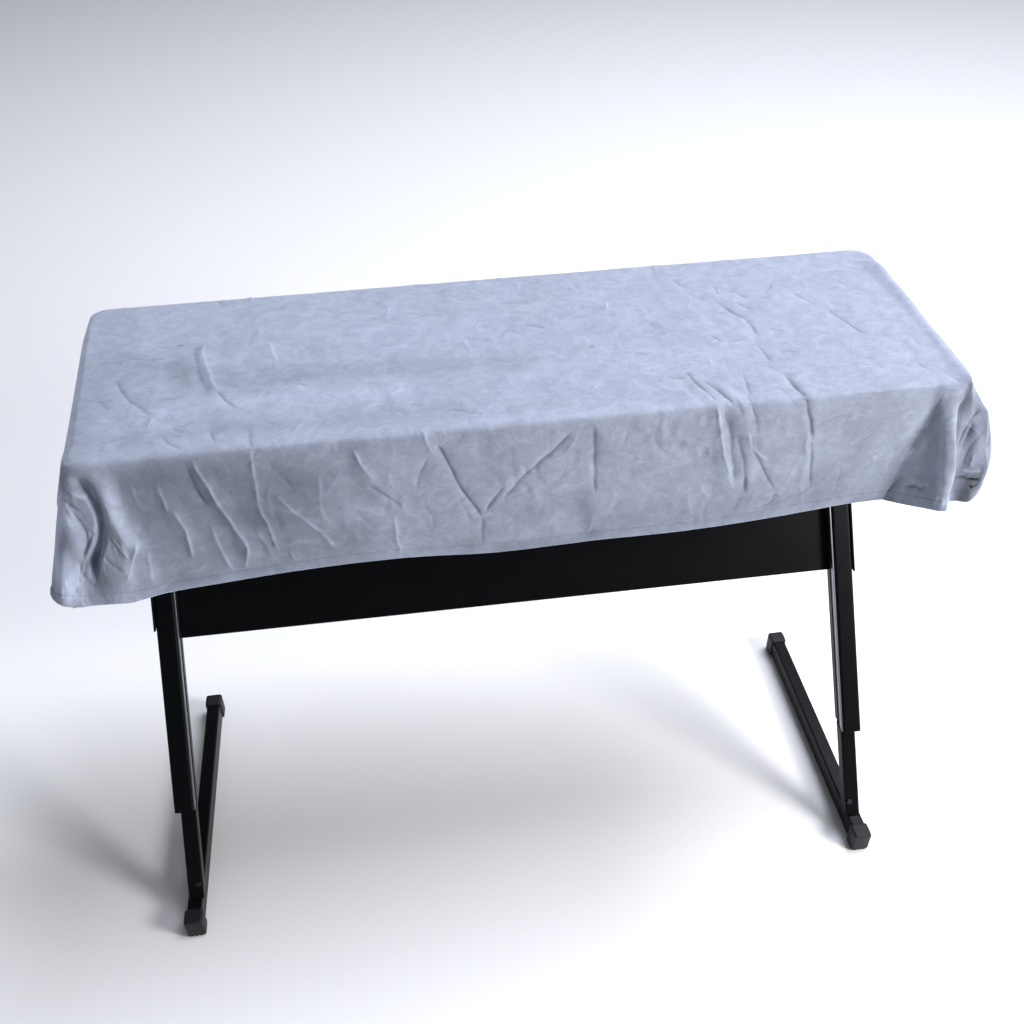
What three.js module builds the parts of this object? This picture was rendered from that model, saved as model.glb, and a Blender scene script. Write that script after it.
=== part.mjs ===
// A velvet dust cover lying loosely over a keyboard that stands on a Z-shaped steel stand.
// Millimetres. +Z is up, +X runs along the keyboard to the player's right, and +Y points away from the player.
// While it is being built, x = 0 is midway between the two feet, y = 0 is the front of the front foot caps
// and z = 0 is the floor. At the end the whole group is moved so that its box is centred on the origin.

import * as THREE from 'three';

const gap = 0.3;              // between pieces that touch

// ---- Driving dimensions: the stand ----
const footSpacing = 950;      // between the middles of the two feet
const footLength = 408.5;
const footTube = { width: 20, bottom: 3, top: 33 };
const footCap = { width: 25, length: 22, height: 36, easing: 2 };
const legSlope = 0.667;       // how far a leg runs back for each millimetre that it rises
const legLean = { left: 0.033, right: 0 };  // how far it leans inward for each millimetre that it rises
const legTube = { inner: 462, width: 21, front: 14, depth: 21.6 };
const sleeve = { inner: 465, width: 23.5, front: 10, depth: 30, bottom: 141 };
const strip = { thickness: 2.4, front: 13, depth: 15, top: 560 };
const bracket = { thickness: 3, bottomLeft: 354, bottomRight: 338, front: 8, depth: 36 };
const topArm = { width: 24, height: 25, front: 165, back: 452 };
const board = { front: 30, thickness: 12, bottom: 330, top: 520 };
const screw = { radius: 4, height: 2.4, level: 52, inset: 5, sides: 16 };

// ---- Driving dimensions: the keyboard case ----
const keyboardCase = {
  height: 95, easing: 12, cornerRadius: 22, frontLeft: -480, backLeft: -500, right: 518, front: 130, back: 456
};

// ---- Driving dimensions: the cloth ----
const clothTop = 725;         // upper face of the cloth above the floor
const clothThickness = 2;
const caseClearance = 2;      // between the cloth and the case's upright faces
const cornerInset = 40;       // the fans of the four corners start this far inside the case's faces
const bendRadius = 14;        // of the cloth where it turns down over an edge
const cornerSquareness = 6;   // power of the rounded square that the cloth follows round each corner in plan
const flatRows = 1;           // rows of facets between the fan's start and the bend
const bendRows = 3;           // rows round the bend
const skirtRows = 5;          // rows from the bend down to the hem
const lengthColumns = 56;     // columns of facets along the top
const depthColumns = 9;       // columns of facets across the top
const stretches = 8;          // four sides and four corners round the cover

// Where the hem hangs, going round the cover from the front left. The place counts 0 to 1 along the front,
// 1 to 2 round the front right corner, 2 to 3 along the right end, and so on to 8, which is 0 again. across and
// back are how far the hem lies to the right of the edge above it and behind it, drop is how far it lies below
// the top, and belly is how far the cloth bows outward half way down.
const hem = [
  { fold: 'front, left end', place: 0.00, across: 8, back: -18, drop: 177, belly: 0 },
  { fold: 'front, first swell', place: 0.10, across: 4, back: -9, drop: 176, belly: 0 },
  { fold: 'front, left hollow', place: 0.20, across: 4, back: -9, drop: 170, belly: 0 },
  { fold: 'front, left of middle', place: 0.33, across: 2, back: -6, drop: 171, belly: 0 },
  { fold: 'front, under the V fold', place: 0.45, across: 0, back: -11, drop: 172, belly: 0 },
  { fold: 'front, right of middle', place: 0.58, across: 0, back: -6, drop: 174, belly: 0 },
  { fold: 'front, level stretch', place: 0.70, across: 0, back: -7, drop: 172, belly: 0 },
  { fold: 'front, drawn up', place: 0.82, across: -6, back: -9, drop: 163, belly: 0 },
  { fold: 'front, right end', place: 0.93, across: -20, back: -5, drop: 156, belly: 0 },
  { fold: 'right ear, valley', place: 1.05, across: -49, back: -4, drop: 154, belly: 0 },
  { fold: 'right ear, flank', place: 1.19, across: -24, back: -26, drop: 150, belly: 0 },
  { fold: 'right ear, crest', place: 1.33, across: -7, back: -50, drop: 145, belly: 0 },
  { fold: 'right ear, behind the crest', place: 1.45, across: 0, back: -30, drop: 150, belly: 0 },
  { fold: 'right ear, end face', place: 1.60, across: 17, back: -42, drop: 151, belly: 6 },
  { fold: 'right ear, outer turn', place: 1.80, across: 37, back: -38, drop: 148, belly: 19 },
  { fold: 'right end, front', place: 2.00, across: 37, back: -20, drop: 152, belly: 18 },
  { fold: 'right end, middle', place: 2.45, across: 16, back: 0, drop: 158, belly: 6 },
  { fold: 'right end, back', place: 2.85, across: 10, back: 2, drop: 160, belly: 0 },
  { fold: 'back right ear, valley', place: 3.10, across: 8, back: 16, drop: 160, belly: 0 },
  { fold: 'back right ear, crest', place: 3.50, across: 36, back: 40, drop: 150, belly: 0 },
  { fold: 'back right ear, far valley', place: 3.90, across: 24, back: 10, drop: 160, belly: 0 },
  { fold: 'back, right end', place: 4.10, across: 6, back: 8, drop: 163, belly: 0 },
  { fold: 'back, first swell', place: 4.28, across: 0, back: 20, drop: 165, belly: 0 },
  { fold: 'back, hollow', place: 4.45, across: 0, back: 9, drop: 167, belly: 0 },
  { fold: 'back, second swell', place: 4.62, across: 0, back: 19, drop: 166, belly: 0 },
  { fold: 'back, left end', place: 4.85, across: -4, back: 8, drop: 164, belly: 0 },
  { fold: 'back left ear, valley', place: 5.10, across: -18, back: 10, drop: 162, belly: 0 },
  { fold: 'back left ear, crest', place: 5.50, across: -40, back: 38, drop: 152, belly: 0 },
  { fold: 'back left ear, far valley', place: 5.90, across: -12, back: 16, drop: 160, belly: 0 },
  { fold: 'left end, back', place: 6.15, across: -14, back: 2, drop: 160, belly: 0 },
  { fold: 'left end, middle', place: 6.50, across: -22, back: 0, drop: 160, belly: 0 },
  { fold: 'left end, swinging out', place: 6.80, across: -39, back: -8, drop: 164, belly: 0 },
  { fold: 'left ear, outer turn', place: 7.00, across: -52, back: -24, drop: 164, belly: 0 },
  { fold: 'left ear, lobe', place: 7.25, across: -51, back: -42, drop: 162, belly: 1 },
  { fold: 'left ear, end face', place: 7.46, across: -33, back: -48, drop: 162, belly: 2 },
  { fold: 'left ear, valley', place: 7.62, across: -12, back: -30, drop: 166, belly: 0 },
  { fold: 'left ear, crest', place: 7.78, across: -4, back: -38, drop: 165, belly: 0 }
];

// Folds pressed into the cloth, in its own flat sizes: x along the keyboard and y across it as on the top, and
// past an edge the same lengths carried on down the skirt. Height is outward, so a trough is less than nothing.
const folds = [
  { fold: 'dent behind the left ear', height: -16, width: 20, route: [[-498, 92], [-524, 66], [-540, 38]] },
  { fold: 'swell over the controls', height: 3, width: 55, route: [[-380, 360], [-100, 352], [440, 340]] },
  { fold: 'swell over the keys', height: 3, width: 28, route: [[-380, 228], [-100, 222], [60, 214]] },
  { fold: 'left stem of the V', height: 5, width: 13, route: [[-89, 110], [-69, 50], [-45, 2]] },
  { fold: 'right arm of the V', height: 4.5, width: 13, route: [[-45, 2], [-16, 46], [59, 108]] },
  { fold: 'foot of the V', height: 4, width: 14, route: [[-45, 2], [-46, -40]] },
  { fold: 'upright right of the V', height: 4, width: 13, route: [[84, 118], [86, 66], [87, 20]] },
  { fold: 'long one over the edge', height: 5, width: 14, route: [[203, 208], [220, 134], [235, 60], [249, 12]] },
  { fold: 'its neighbour', height: 4, width: 14, route: [[221, 184], [246, 128], [264, 60], [270, 0]] },
  { fold: 'right one over the edge', height: 4, width: 14, route: [[319, 181], [328, 126], [340, 60], [348, 0]] },
  { fold: 'first slanting', height: 4, width: 14, route: [[-352, 118], [-327, 46], [-314, -8], [-318, -38]] },
  { fold: 'second slanting', height: 4, width: 13, route: [[-390, 90], [-378, 30], [-366, -20]] },
  { fold: 'third slanting', height: 4, width: 14, route: [[-181, 112], [-165, 66], [-131, 20]] },
  { fold: 'long crease on the top', height: 3, width: 14, route: [[-356, 350], [-352, 318], [-333, 250], [-303, 209]] }
];

// ---- Colours ----
const finishes = {              // colour, roughness and metalness
  velvet: [0x9aa6bd, 0.95, 0],
  blackPaint: [0x17191d, 0.45, 0],
  blackPlastic: [0x1d1f22, 0.6, 0],
  bright: [0xc9ccd0, 0.3, 1],
  caseBlack: [0x222326, 0.6, 0]
};

function finish(name) {
  const [color, roughness, metalness] = finishes[name];
  return new THREE.MeshStandardMaterial({ color, roughness, metalness });
}

const group = new THREE.Group();

function add(name, geometry, finishName) {
  const mesh = new THREE.Mesh(geometry, finish(finishName));
  mesh.name = name;
  group.add(mesh);
  return mesh;
}

// ---- Stand ----

// A block between two corners, its edges along the axes.
function block(low, high) {
  const size = high.map((value, i) => value - low[i]);
  const geometry = new THREE.BoxGeometry(...size);
  geometry.translate(...low.map((value, i) => value + size[i] / 2));
  return geometry;
}

// A bar that leans back with the legs, its bottom and top cut level. Its front and depth are measured along Y at
// the floor, and its lowest and highest X at the foot tube's top. Above that each of the two ends leans along X.
function leaningBar([xLow, xHigh], front, depth, bottom, top, leanLow, leanHigh = leanLow) {
  const frontAt = z => front + legSlope * z;
  const side = new THREE.Shape([
    new THREE.Vector2(frontAt(bottom), bottom),
    new THREE.Vector2(frontAt(bottom) + depth, bottom),
    new THREE.Vector2(frontAt(top) + depth, top),
    new THREE.Vector2(frontAt(top), top)
  ]);
  const geometry = new THREE.ExtrudeGeometry(side, { depth: xHigh - xLow, bevelEnabled: false });
  // The outline's first axis becomes Y and its second Z, and the extrusion runs along X.
  geometry.applyMatrix4(new THREE.Matrix4().set(0, 0, 1, xLow, 1, 0, 0, 0, 0, 1, 0, 0, 0, 0, 0, 1));
  const position = geometry.getAttribute('position');
  for (let k = 0; k < position.count; k++) {
    const lean = position.getX(k) > (xLow + xHigh) / 2 ? leanHigh : leanLow;
    position.setX(k, position.getX(k) + lean * (position.getZ(k) - footTube.top));
  }
  return geometry;
}

// A block with eased edges along its length.
function easedBlock(low, high, easing) {
  const [width, length, height] = high.map((value, i) => value - low[i]);
  const outline = new THREE.Shape([
    new THREE.Vector2(easing, 0),
    new THREE.Vector2(width - easing, 0),
    new THREE.Vector2(width, easing),
    new THREE.Vector2(width, height - easing),
    new THREE.Vector2(width - easing, height),
    new THREE.Vector2(easing, height),
    new THREE.Vector2(0, height - easing),
    new THREE.Vector2(0, easing)
  ]);
  const geometry = new THREE.ExtrudeGeometry(outline, { depth: length, bevelEnabled: false });
  // The outline stands in the XZ plane, and the extrusion runs back along Y.
  geometry.rotateX(Math.PI / 2);
  geometry.translate(low[0], low[1] + length, low[2]);
  return geometry;
}

const armTop = clothTop - clothThickness - gap - keyboardCase.height - gap;
const armBottom = armTop - topArm.height;

// From the two distances outwards from the middle of the stand, the lowest and highest X on one side.
function spanOnSide(side, nearMiddle, farFromMiddle) {
  return side > 0 ? [nearMiddle, farFromMiddle] : [-farFromMiddle, -nearMiddle];
}

for (const [sideName, side] of [['left', -1], ['right', 1]]) {
  const footMiddle = side * footSpacing / 2;
  const [tubeLow, tubeHigh] = [footMiddle - footTube.width / 2, footMiddle + footTube.width / 2];
  const [capLow, capHigh] = [footMiddle - footCap.width / 2, footMiddle + footCap.width / 2];
  const rearCapFront = footLength - footCap.length;
  add(`foot_tube_${sideName}`,
    block([tubeLow, footCap.length + gap, footTube.bottom], [tubeHigh, rearCapFront - gap, footTube.top]),
    'blackPaint');
  add(`foot_cap_front_${sideName}`,
    easedBlock([capLow, 0, 0], [capHigh, footCap.length, footCap.height], footCap.easing),
    'blackPlastic');
  add(`foot_cap_rear_${sideName}`,
    easedBlock([capLow, rearCapFront, 0], [capHigh, footLength, footCap.height], footCap.easing),
    'blackPlastic');

  const lean = -side * legLean[sideName];
  const legSpan = spanOnSide(side, legTube.inner, legTube.inner + legTube.width);
  add(`leg_tube_${sideName}`,
    leaningBar(legSpan, legTube.front, legTube.depth, footTube.top + gap, sleeve.bottom - gap, lean),
    'blackPaint');

  const sleeveOuter = sleeve.inner + sleeve.width;
  const sleeveTop = armBottom - gap;
  const sleeveSpan = spanOnSide(side, sleeve.inner, sleeveOuter);
  add(`leg_sleeve_${sideName}`,
    leaningBar(sleeveSpan, sleeve.front, sleeve.depth, sleeve.bottom, sleeveTop, lean), 'blackPaint');

  const stripOuter = sleeve.inner - gap;
  const stripSpan = spanOnSide(side, stripOuter - strip.thickness, stripOuter);
  add(`sleeve_strip_${sideName}`,
    leaningBar(stripSpan, strip.front, strip.depth, sleeve.bottom, strip.top, lean), 'bright');

  const plateSpan = spanOnSide(side, sleeveOuter + gap, sleeveOuter + gap + bracket.thickness);
  const plateBottom = side > 0 ? bracket.bottomRight : bracket.bottomLeft;
  add(`upper_bracket_${sideName}`,
    leaningBar(plateSpan, bracket.front, bracket.depth, plateBottom, sleeveTop, lean), 'blackPaint');

  const armInner = sleeve.inner - legLean[sideName] * (armBottom - footTube.top);
  const [armLow, armHigh] = spanOnSide(side, armInner, armInner + topArm.width);
  add(`top_arm_${sideName}`,
    block([armLow, topArm.front, armBottom], [armHigh, topArm.back, armTop]), 'blackPaint');

  // The screw head lies flat on the leg's front face, square to it.
  const slope = Math.atan(legSlope);
  const head = new THREE.CylinderGeometry(screw.radius, screw.radius, screw.height, screw.sides);
  const screwMesh = add(`leg_screw_${sideName}`, head, 'bright');
  const lift = gap + screw.height / 2;
  screwMesh.rotation.x = -slope;
  screwMesh.position.set(
    side * (legTube.inner + legTube.width / 2 - screw.inset),
    legTube.front + legSlope * screw.level - lift * Math.cos(slope),
    screw.level + lift * Math.sin(slope));
}

// The board's two ends stand against the sleeves and lean with them.
const boardSpan = [gap - sleeve.inner, sleeve.inner - gap];
const boardLeans = [legLean.left, -legLean.right];
add('modesty_board',
  leaningBar(boardSpan, board.front, board.thickness, board.bottom, board.top, ...boardLeans), 'blackPaint');

// ---- Keyboard case: its plan outline, extruded upwards with eased edges ----
{
  const { height, easing, cornerRadius, frontLeft, backLeft, right, front, back } = keyboardCase;
  // Each corner is an arc, and the bevel carries the outline the rest of the way out to the case's faces.
  const radius = cornerRadius - easing;
  const quarter = Math.PI / 2;
  const plan = new THREE.Shape();
  plan.absarc(frontLeft + cornerRadius, front + cornerRadius, radius, 2 * quarter, 3 * quarter);
  plan.absarc(right - cornerRadius, front + cornerRadius, radius, 3 * quarter, 4 * quarter);
  plan.absarc(right - cornerRadius, back - cornerRadius, radius, 0, quarter);
  plan.absarc(backLeft + cornerRadius, back - cornerRadius, radius, quarter, 2 * quarter);
  plan.closePath();
  const geometry = new THREE.ExtrudeGeometry(plan, {
    depth: height - 2 * easing, curveSegments: 4,
    bevelEnabled: true, bevelThickness: easing, bevelSize: easing, bevelSegments: 3
  });
  geometry.translate(0, 0, clothTop - clothThickness - gap - height + easing);
  add('keyboard_case', geometry, 'caseBlack');
}

// ---- Cover ----

const standOff = clothThickness + caseClearance;
const edgeLines = {
  front: keyboardCase.front - standOff,
  back: keyboardCase.back + standOff,
  right: keyboardCase.right + standOff,
  frontLeft: keyboardCase.frontLeft - standOff,
  backLeft: keyboardCase.backLeft - standOff
};

// The point of the top at a share of its length and of its depth, inside the lines where the skirt rows start.
function topPoint(alongX, alongY) {
  const left = THREE.MathUtils.lerp(edgeLines.frontLeft, edgeLines.backLeft, alongY) + cornerInset;
  const right = edgeLines.right - cornerInset;
  return new THREE.Vector3(
    THREE.MathUtils.lerp(left, right, alongX),
    THREE.MathUtils.lerp(edgeLines.front + cornerInset, edgeLines.back - cornerInset, alongY),
    clothTop);
}

// Shares of length and depth, and the way that the cloth leaves the top, as a compass angle, at a place 0 to 8.
function leaving(place) {
  const stretch = Math.floor(place) % stretches;
  const share = place - Math.floor(place);
  const quarter = Math.PI / 2;
  const table = [
    { x: share, y: 0, angle: -quarter },
    { x: 1, y: 0, angle: -quarter + quarter * share },
    { x: 1, y: share, angle: 0 },
    { x: 1, y: 1, angle: quarter * share },
    { x: 1 - share, y: 1, angle: quarter },
    { x: 0, y: 1, angle: quarter + quarter * share },
    { x: 0, y: 1 - share, angle: 2 * quarter },
    { x: 0, y: 0, angle: 2 * quarter + quarter * share }
  ];
  return table[stretch];
}

// A smooth value between the rows of the hem table, which closes on itself: a cubic between each two rows,
// whose slope at a row is that of the line through the rows on either side.
function hemValue(column, place) {
  const count = hem.length;
  const row = index => {
    const turns = Math.floor(index / count);
    const entry = hem[index - turns * count];
    return { at: entry.place + stretches * turns, value: entry[column] };
  };
  let next = hem.findIndex(entry => entry.place > place);
  if (next < 0) next = count;
  const [before, from, to, after] = [row(next - 2), row(next - 1), row(next), row(next + 1)];
  const length = to.at - from.at;
  const t = (place - from.at) / length;
  const slopeFrom = (to.value - before.value) / (to.at - before.at) * length;
  const slopeTo = (after.value - from.value) / (after.at - from.at) * length;
  return (2 * t ** 3 - 3 * t ** 2 + 1) * from.value + (t ** 3 - 2 * t ** 2 + t) * slopeFrom
    + (3 * t ** 2 - 2 * t ** 3) * to.value + (t ** 3 - t ** 2) * slopeTo;
}

// One line of the skirt: where it leaves the top, where it crosses the edge, and where its hem hangs.
function skirtLine(place) {
  const { x, y, angle } = leaving(place);
  const start = topPoint(x, y);
  const way = new THREE.Vector3(Math.cos(angle), Math.sin(angle), 0);
  const squareness = Math.abs(way.x) ** cornerSquareness + Math.abs(way.y) ** cornerSquareness;
  const reach = cornerInset / squareness ** (1 / cornerSquareness);
  const edge = start.clone().addScaledVector(way, reach);
  const hemPoint = edge.clone().add(new THREE.Vector3(
    hemValue('across', place), hemValue('back', place), -hemValue('drop', place)));
  return { start, way, reach, edge, hemPoint, belly: hemValue('belly', place) };
}

// The point of a skirt line at one of its rows, with its distance from the line's start along the cloth.
function skirtPoint(line, row) {
  const { start, way, reach, edge, hemPoint, belly } = line;
  const flatEnd = edge.clone().addScaledVector(way, -bendRadius);
  const down = hemPoint.clone().sub(edge);
  const fall = down.length();
  const bendEnd = edge.clone().addScaledVector(down, bendRadius / fall);
  const flatLength = reach - bendRadius;
  const bendLength = bendRadius * Math.PI / 2;
  if (row <= flatRows) {
    const t = row / flatRows;
    return { point: start.clone().lerp(flatEnd, t), along: t * flatLength };
  }
  if (row <= flatRows + bendRows) {
    const t = (row - flatRows) / bendRows;
    const point = flatEnd.clone().multiplyScalar((1 - t) ** 2)
      .addScaledVector(edge, 2 * t * (1 - t)).addScaledVector(bendEnd, t ** 2);
    return { point, along: flatLength + t * bendLength };
  }
  const t = (row - flatRows - bendRows) / skirtRows;
  const point = bendEnd.lerp(hemPoint, t).addScaledVector(way, belly * 4 * t * (1 - t));
  return { point, along: flatLength + bendLength + t * (fall - bendRadius) };
}

const rings = flatRows + bendRows + skirtRows;
const columns = lengthColumns + 2 * rings;
const rows = depthColumns + 2 * rings;

// Place round the cover of a grid point, from the rings that it lies outside the top along X and along Y.
function placeOf(i, j, acrossRings, backRings) {
  const alongX = (i - rings) / lengthColumns;
  const alongY = (j - rings) / depthColumns;
  const right = i > rings;
  const back = j > rings;
  if (acrossRings === 0) return back ? 5 - alongX : alongX;
  if (backRings === 0) return right ? 2 + alongY : 7 - alongY;
  // In a corner the grid's squares become arcs: 0 is the side of the cover and 1 its front or back.
  const turn = acrossRings >= backRings
    ? backRings / acrossRings / 2
    : 1 - acrossRings / backRings / 2;
  if (right) return back ? 3 + turn : 2 - turn;
  return back ? 6 - turn : 7 + turn;
}

// Grid point of the cloth before folds, with its place on the flat cloth.
function drapedPoint(i, j) {
  const acrossRings = Math.max(rings - i, i - rings - lengthColumns, 0);
  const backRings = Math.max(rings - j, j - rings - depthColumns, 0);
  const ring = Math.max(acrossRings, backRings);
  if (ring === 0) {
    const point = topPoint((i - rings) / lengthColumns, (j - rings) / depthColumns);
    return { point, flat: new THREE.Vector2(point.x, point.y) };
  }
  const line = skirtLine(placeOf(i, j, acrossRings, backRings) % stretches);
  const { point, along } = skirtPoint(line, ring);
  const flat = new THREE.Vector2(line.start.x + line.way.x * along, line.start.y + line.way.y * along);
  return { point, flat };
}

// Shortest distance from a point of the flat cloth to a fold's route.
function distanceToRoute(flat, route) {
  let nearest = Infinity;
  for (let k = 0; k + 1 < route.length; k++) {
    const from = new THREE.Vector2(...route[k]);
    const leg = new THREE.Vector2(...route[k + 1]).sub(from);
    const t = THREE.MathUtils.clamp(flat.clone().sub(from).dot(leg) / leg.lengthSq(), 0, 1);
    nearest = Math.min(nearest, flat.distanceTo(from.addScaledVector(leg, t)));
  }
  return nearest;
}

// Height of all the folds at a point of the flat cloth: each is a bell across its route.
function foldHeight(flat) {
  return folds.reduce((sum, { height, width, route }) =>
    sum + height * Math.exp(-((distanceToRoute(flat, route) / width) ** 2)), 0);
}

// Unit normals of a grid of points, from the neighbours along both ways.
function gridNormals(points) {
  return points.map((column, i) => column.map((point, j) => {
    const alongI = points[Math.min(i + 1, columns)][j].clone().sub(points[Math.max(i - 1, 0)][j]);
    const alongJ = points[i][Math.min(j + 1, rows)].clone().sub(points[i][Math.max(j - 1, 0)]);
    return alongI.cross(alongJ).normalize();
  }));
}

function grid(make) {
  return Array.from({ length: columns + 1 }, (_, i) => Array.from({ length: rows + 1 }, (_, j) => make(i, j)));
}

function clothGeometry() {
  const draped = grid(drapedPoint);
  const base = draped.map(column => column.map(entry => entry.point));
  const baseNormals = gridNormals(base);
  const outer = grid((i, j) =>
    base[i][j].clone().addScaledVector(baseNormals[i][j], foldHeight(draped[i][j].flat)));
  const normals = gridNormals(outer);
  const inner = grid((i, j) => outer[i][j].clone().addScaledVector(normals[i][j], -clothThickness));

  const positions = [];
  const triangle = (a, b, c) => positions.push(...a, ...b, ...c);
  const quad = (a, b, c, d) => {
    triangle(a, b, c);
    triangle(a, c, d);
  };
  // In the two corners where the grid's diagonal runs the other way, the facets are cut along that diagonal.
  const cutOtherWay = (i, j) =>
    (i < rings && j >= rings + depthColumns) || (i >= rings + lengthColumns && j < rings);
  for (let i = 0; i < columns; i++) {
    for (let j = 0; j < rows; j++) {
      const corners = layer => [layer[i][j], layer[i + 1][j], layer[i + 1][j + 1], layer[i][j + 1]];
      const [a, b, c, d] = corners(outer);
      const [e, f, g, h] = corners(inner);
      if (cutOtherWay(i, j)) {
        quad(b, c, d, a);
        quad(h, g, f, e);
      } else {
        quad(a, b, c, d);
        quad(e, h, g, f);
      }
    }
  }
  const rim = [];
  for (let i = 0; i < columns; i++) rim.push([i, 0]);
  for (let j = 0; j < rows; j++) rim.push([columns, j]);
  for (let i = columns; i > 0; i--) rim.push([i, rows]);
  for (let j = rows; j > 0; j--) rim.push([0, j]);
  rim.forEach(([i, j], k) => {
    const [nextI, nextJ] = rim[(k + 1) % rim.length];
    quad(outer[i][j], inner[i][j], inner[nextI][nextJ], outer[nextI][nextJ]);
  });
  const geometry = new THREE.BufferGeometry();
  geometry.setAttribute('position', new THREE.Float32BufferAttribute(positions, 3));
  geometry.computeVertexNormals();
  return geometry;
}

add('cover', clothGeometry(), 'velvet');

// ---- The finished group stands with its box centred on the origin and its lowest faces at z = 0 ----
const box = new THREE.Box3().setFromObject(group, true);
group.position.set(-(box.min.x + box.max.x) / 2, -(box.min.y + box.max.y) / 2, -box.min.z);

export default group;
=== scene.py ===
import bpy
import numpy as np
from mathutils import Matrix, Vector


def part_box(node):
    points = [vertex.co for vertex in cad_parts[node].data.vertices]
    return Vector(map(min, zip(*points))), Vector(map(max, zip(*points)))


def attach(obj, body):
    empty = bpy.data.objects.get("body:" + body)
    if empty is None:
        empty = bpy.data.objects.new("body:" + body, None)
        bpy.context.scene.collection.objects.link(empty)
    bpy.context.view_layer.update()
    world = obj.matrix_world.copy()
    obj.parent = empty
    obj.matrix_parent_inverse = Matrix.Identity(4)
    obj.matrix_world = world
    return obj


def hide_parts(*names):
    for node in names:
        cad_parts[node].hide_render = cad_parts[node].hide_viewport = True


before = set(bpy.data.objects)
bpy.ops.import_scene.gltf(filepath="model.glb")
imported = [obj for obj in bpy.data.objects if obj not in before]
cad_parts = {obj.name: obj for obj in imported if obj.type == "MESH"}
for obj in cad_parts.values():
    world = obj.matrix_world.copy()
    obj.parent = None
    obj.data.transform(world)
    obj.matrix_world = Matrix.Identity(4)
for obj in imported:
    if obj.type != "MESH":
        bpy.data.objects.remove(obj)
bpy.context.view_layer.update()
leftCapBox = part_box("foot_cap_front_left")
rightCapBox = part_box("foot_cap_front_right")
home = np.array([(leftCapBox[0].x + rightCapBox[1].x) / 2, leftCapBox[0].y, 0.0])
touchingGap = 0.3  # mm between neighbours that rest on each other
print("frame loaded")


def toFrame(points):  # millimetres from home, as the frame's metres
    return np.asarray(points, float) * 0.001 + home


def boxOf(node):  # lowest and highest corner of a node, in millimetres from home
    low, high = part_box(node)
    return (np.asarray(low, float) - home) * 1000, (np.asarray(high, float) - home) * 1000


def linear(hexColour):  # sRGB hex to a linear colour with alpha
    parts = [int(hexColour[k : k + 2], 16) / 255 for k in (1, 3, 5)]
    return [p / 12.92 if p <= 0.04045 else ((p + 0.055) / 1.055) ** 2.4 for p in parts] + [1.0]


def ease(t):  # 0 to 1 with level ends: 3t^2 - 2t^3
    t = np.clip(t, 0, 1)
    return t * t * (3 - 2 * t)


def softNoise(x, y, cell, seed):
    # random heights from -1 to 1 on a lattice of that cell, joined by an ease curve
    wide, deep = 97, 89  # cells, after which it repeats
    table = np.random.default_rng(seed).uniform(-1, 1, (wide, deep))
    u, v = x / cell, y / cell
    i, j = np.floor(u).astype(int), np.floor(v).astype(int)
    a, b = ease(u - i), ease(v - j)
    left, right, near, far = i % wide, (i + 1) % wide, j % deep, (j + 1) % deep
    low = table[left, near] * (1 - a) + table[right, near] * a
    high = table[left, far] * (1 - a) + table[right, far] * a
    return low * (1 - b) + high * b


def makeMesh(name, points, faceLists, cadNode, material, slotName):
    # one object from points in millimetres and lists of faces, each an array with equal corner counts
    mesh = bpy.data.meshes.new(name)
    corners = np.concatenate([np.ravel(faces) for faces in faceLists]).astype(np.int32)
    sizes = np.concatenate([np.full(len(faces), faces.shape[1]) for faces in faceLists])
    starts = np.append(0, np.cumsum(sizes)[:-1]).astype(np.int32)
    mesh.vertices.add(len(points))
    mesh.vertices.foreach_set("co", toFrame(points).ravel().astype(np.float32))
    mesh.loops.add(len(corners))
    mesh.loops.foreach_set("vertex_index", corners)
    mesh.polygons.add(len(sizes))
    mesh.polygons.foreach_set("loop_start", starts)
    mesh.polygons.foreach_set("use_smooth", np.full(len(sizes), True))
    mesh.update(calc_edges=True)
    mesh.validate()
    mesh.materials.append(material)
    piece = bpy.data.objects.new(name, mesh)
    bpy.context.scene.collection.objects.link(piece)
    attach(piece, "root")
    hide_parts(cadNode)
    return piece


def applyModifiers(piece):  # the modifiers' result becomes the piece's own mesh
    evaluated = piece.evaluated_get(bpy.context.evaluated_depsgraph_get())
    done = bpy.data.meshes.new_from_object(evaluated)
    old = piece.data
    piece.modifiers.clear()
    piece.data = done
    bpy.data.meshes.remove(old)
    done.name = piece.name


def addNode(tree, kind, settings=(), links=()):  # one shader node, with its settings and the links into it
    node = tree.nodes.new("ShaderNode" + kind)
    for key, value in dict(settings).items():
        if isinstance(key, int) or key in node.inputs:
            node.inputs[key].default_value = value
        else:
            setattr(node, key, value)
    for key, (other, output) in dict(links).items():
        tree.links.new(other.outputs[output], node.inputs[key])
    return node


def newMaterial(name):  # an empty material and its node tree
    material = bpy.data.materials.new(name)
    material.use_nodes = True
    material.node_tree.nodes.clear()
    return material, material.node_tree


def finishMaterial(tree, settings, links):  # the shader with these settings and links, as the surface
    shader = addNode(tree, "BsdfPrincipled", settings, links)
    addNode(tree, "OutputMaterial", {}, {"Surface": (shader, "BSDF")})


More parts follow.
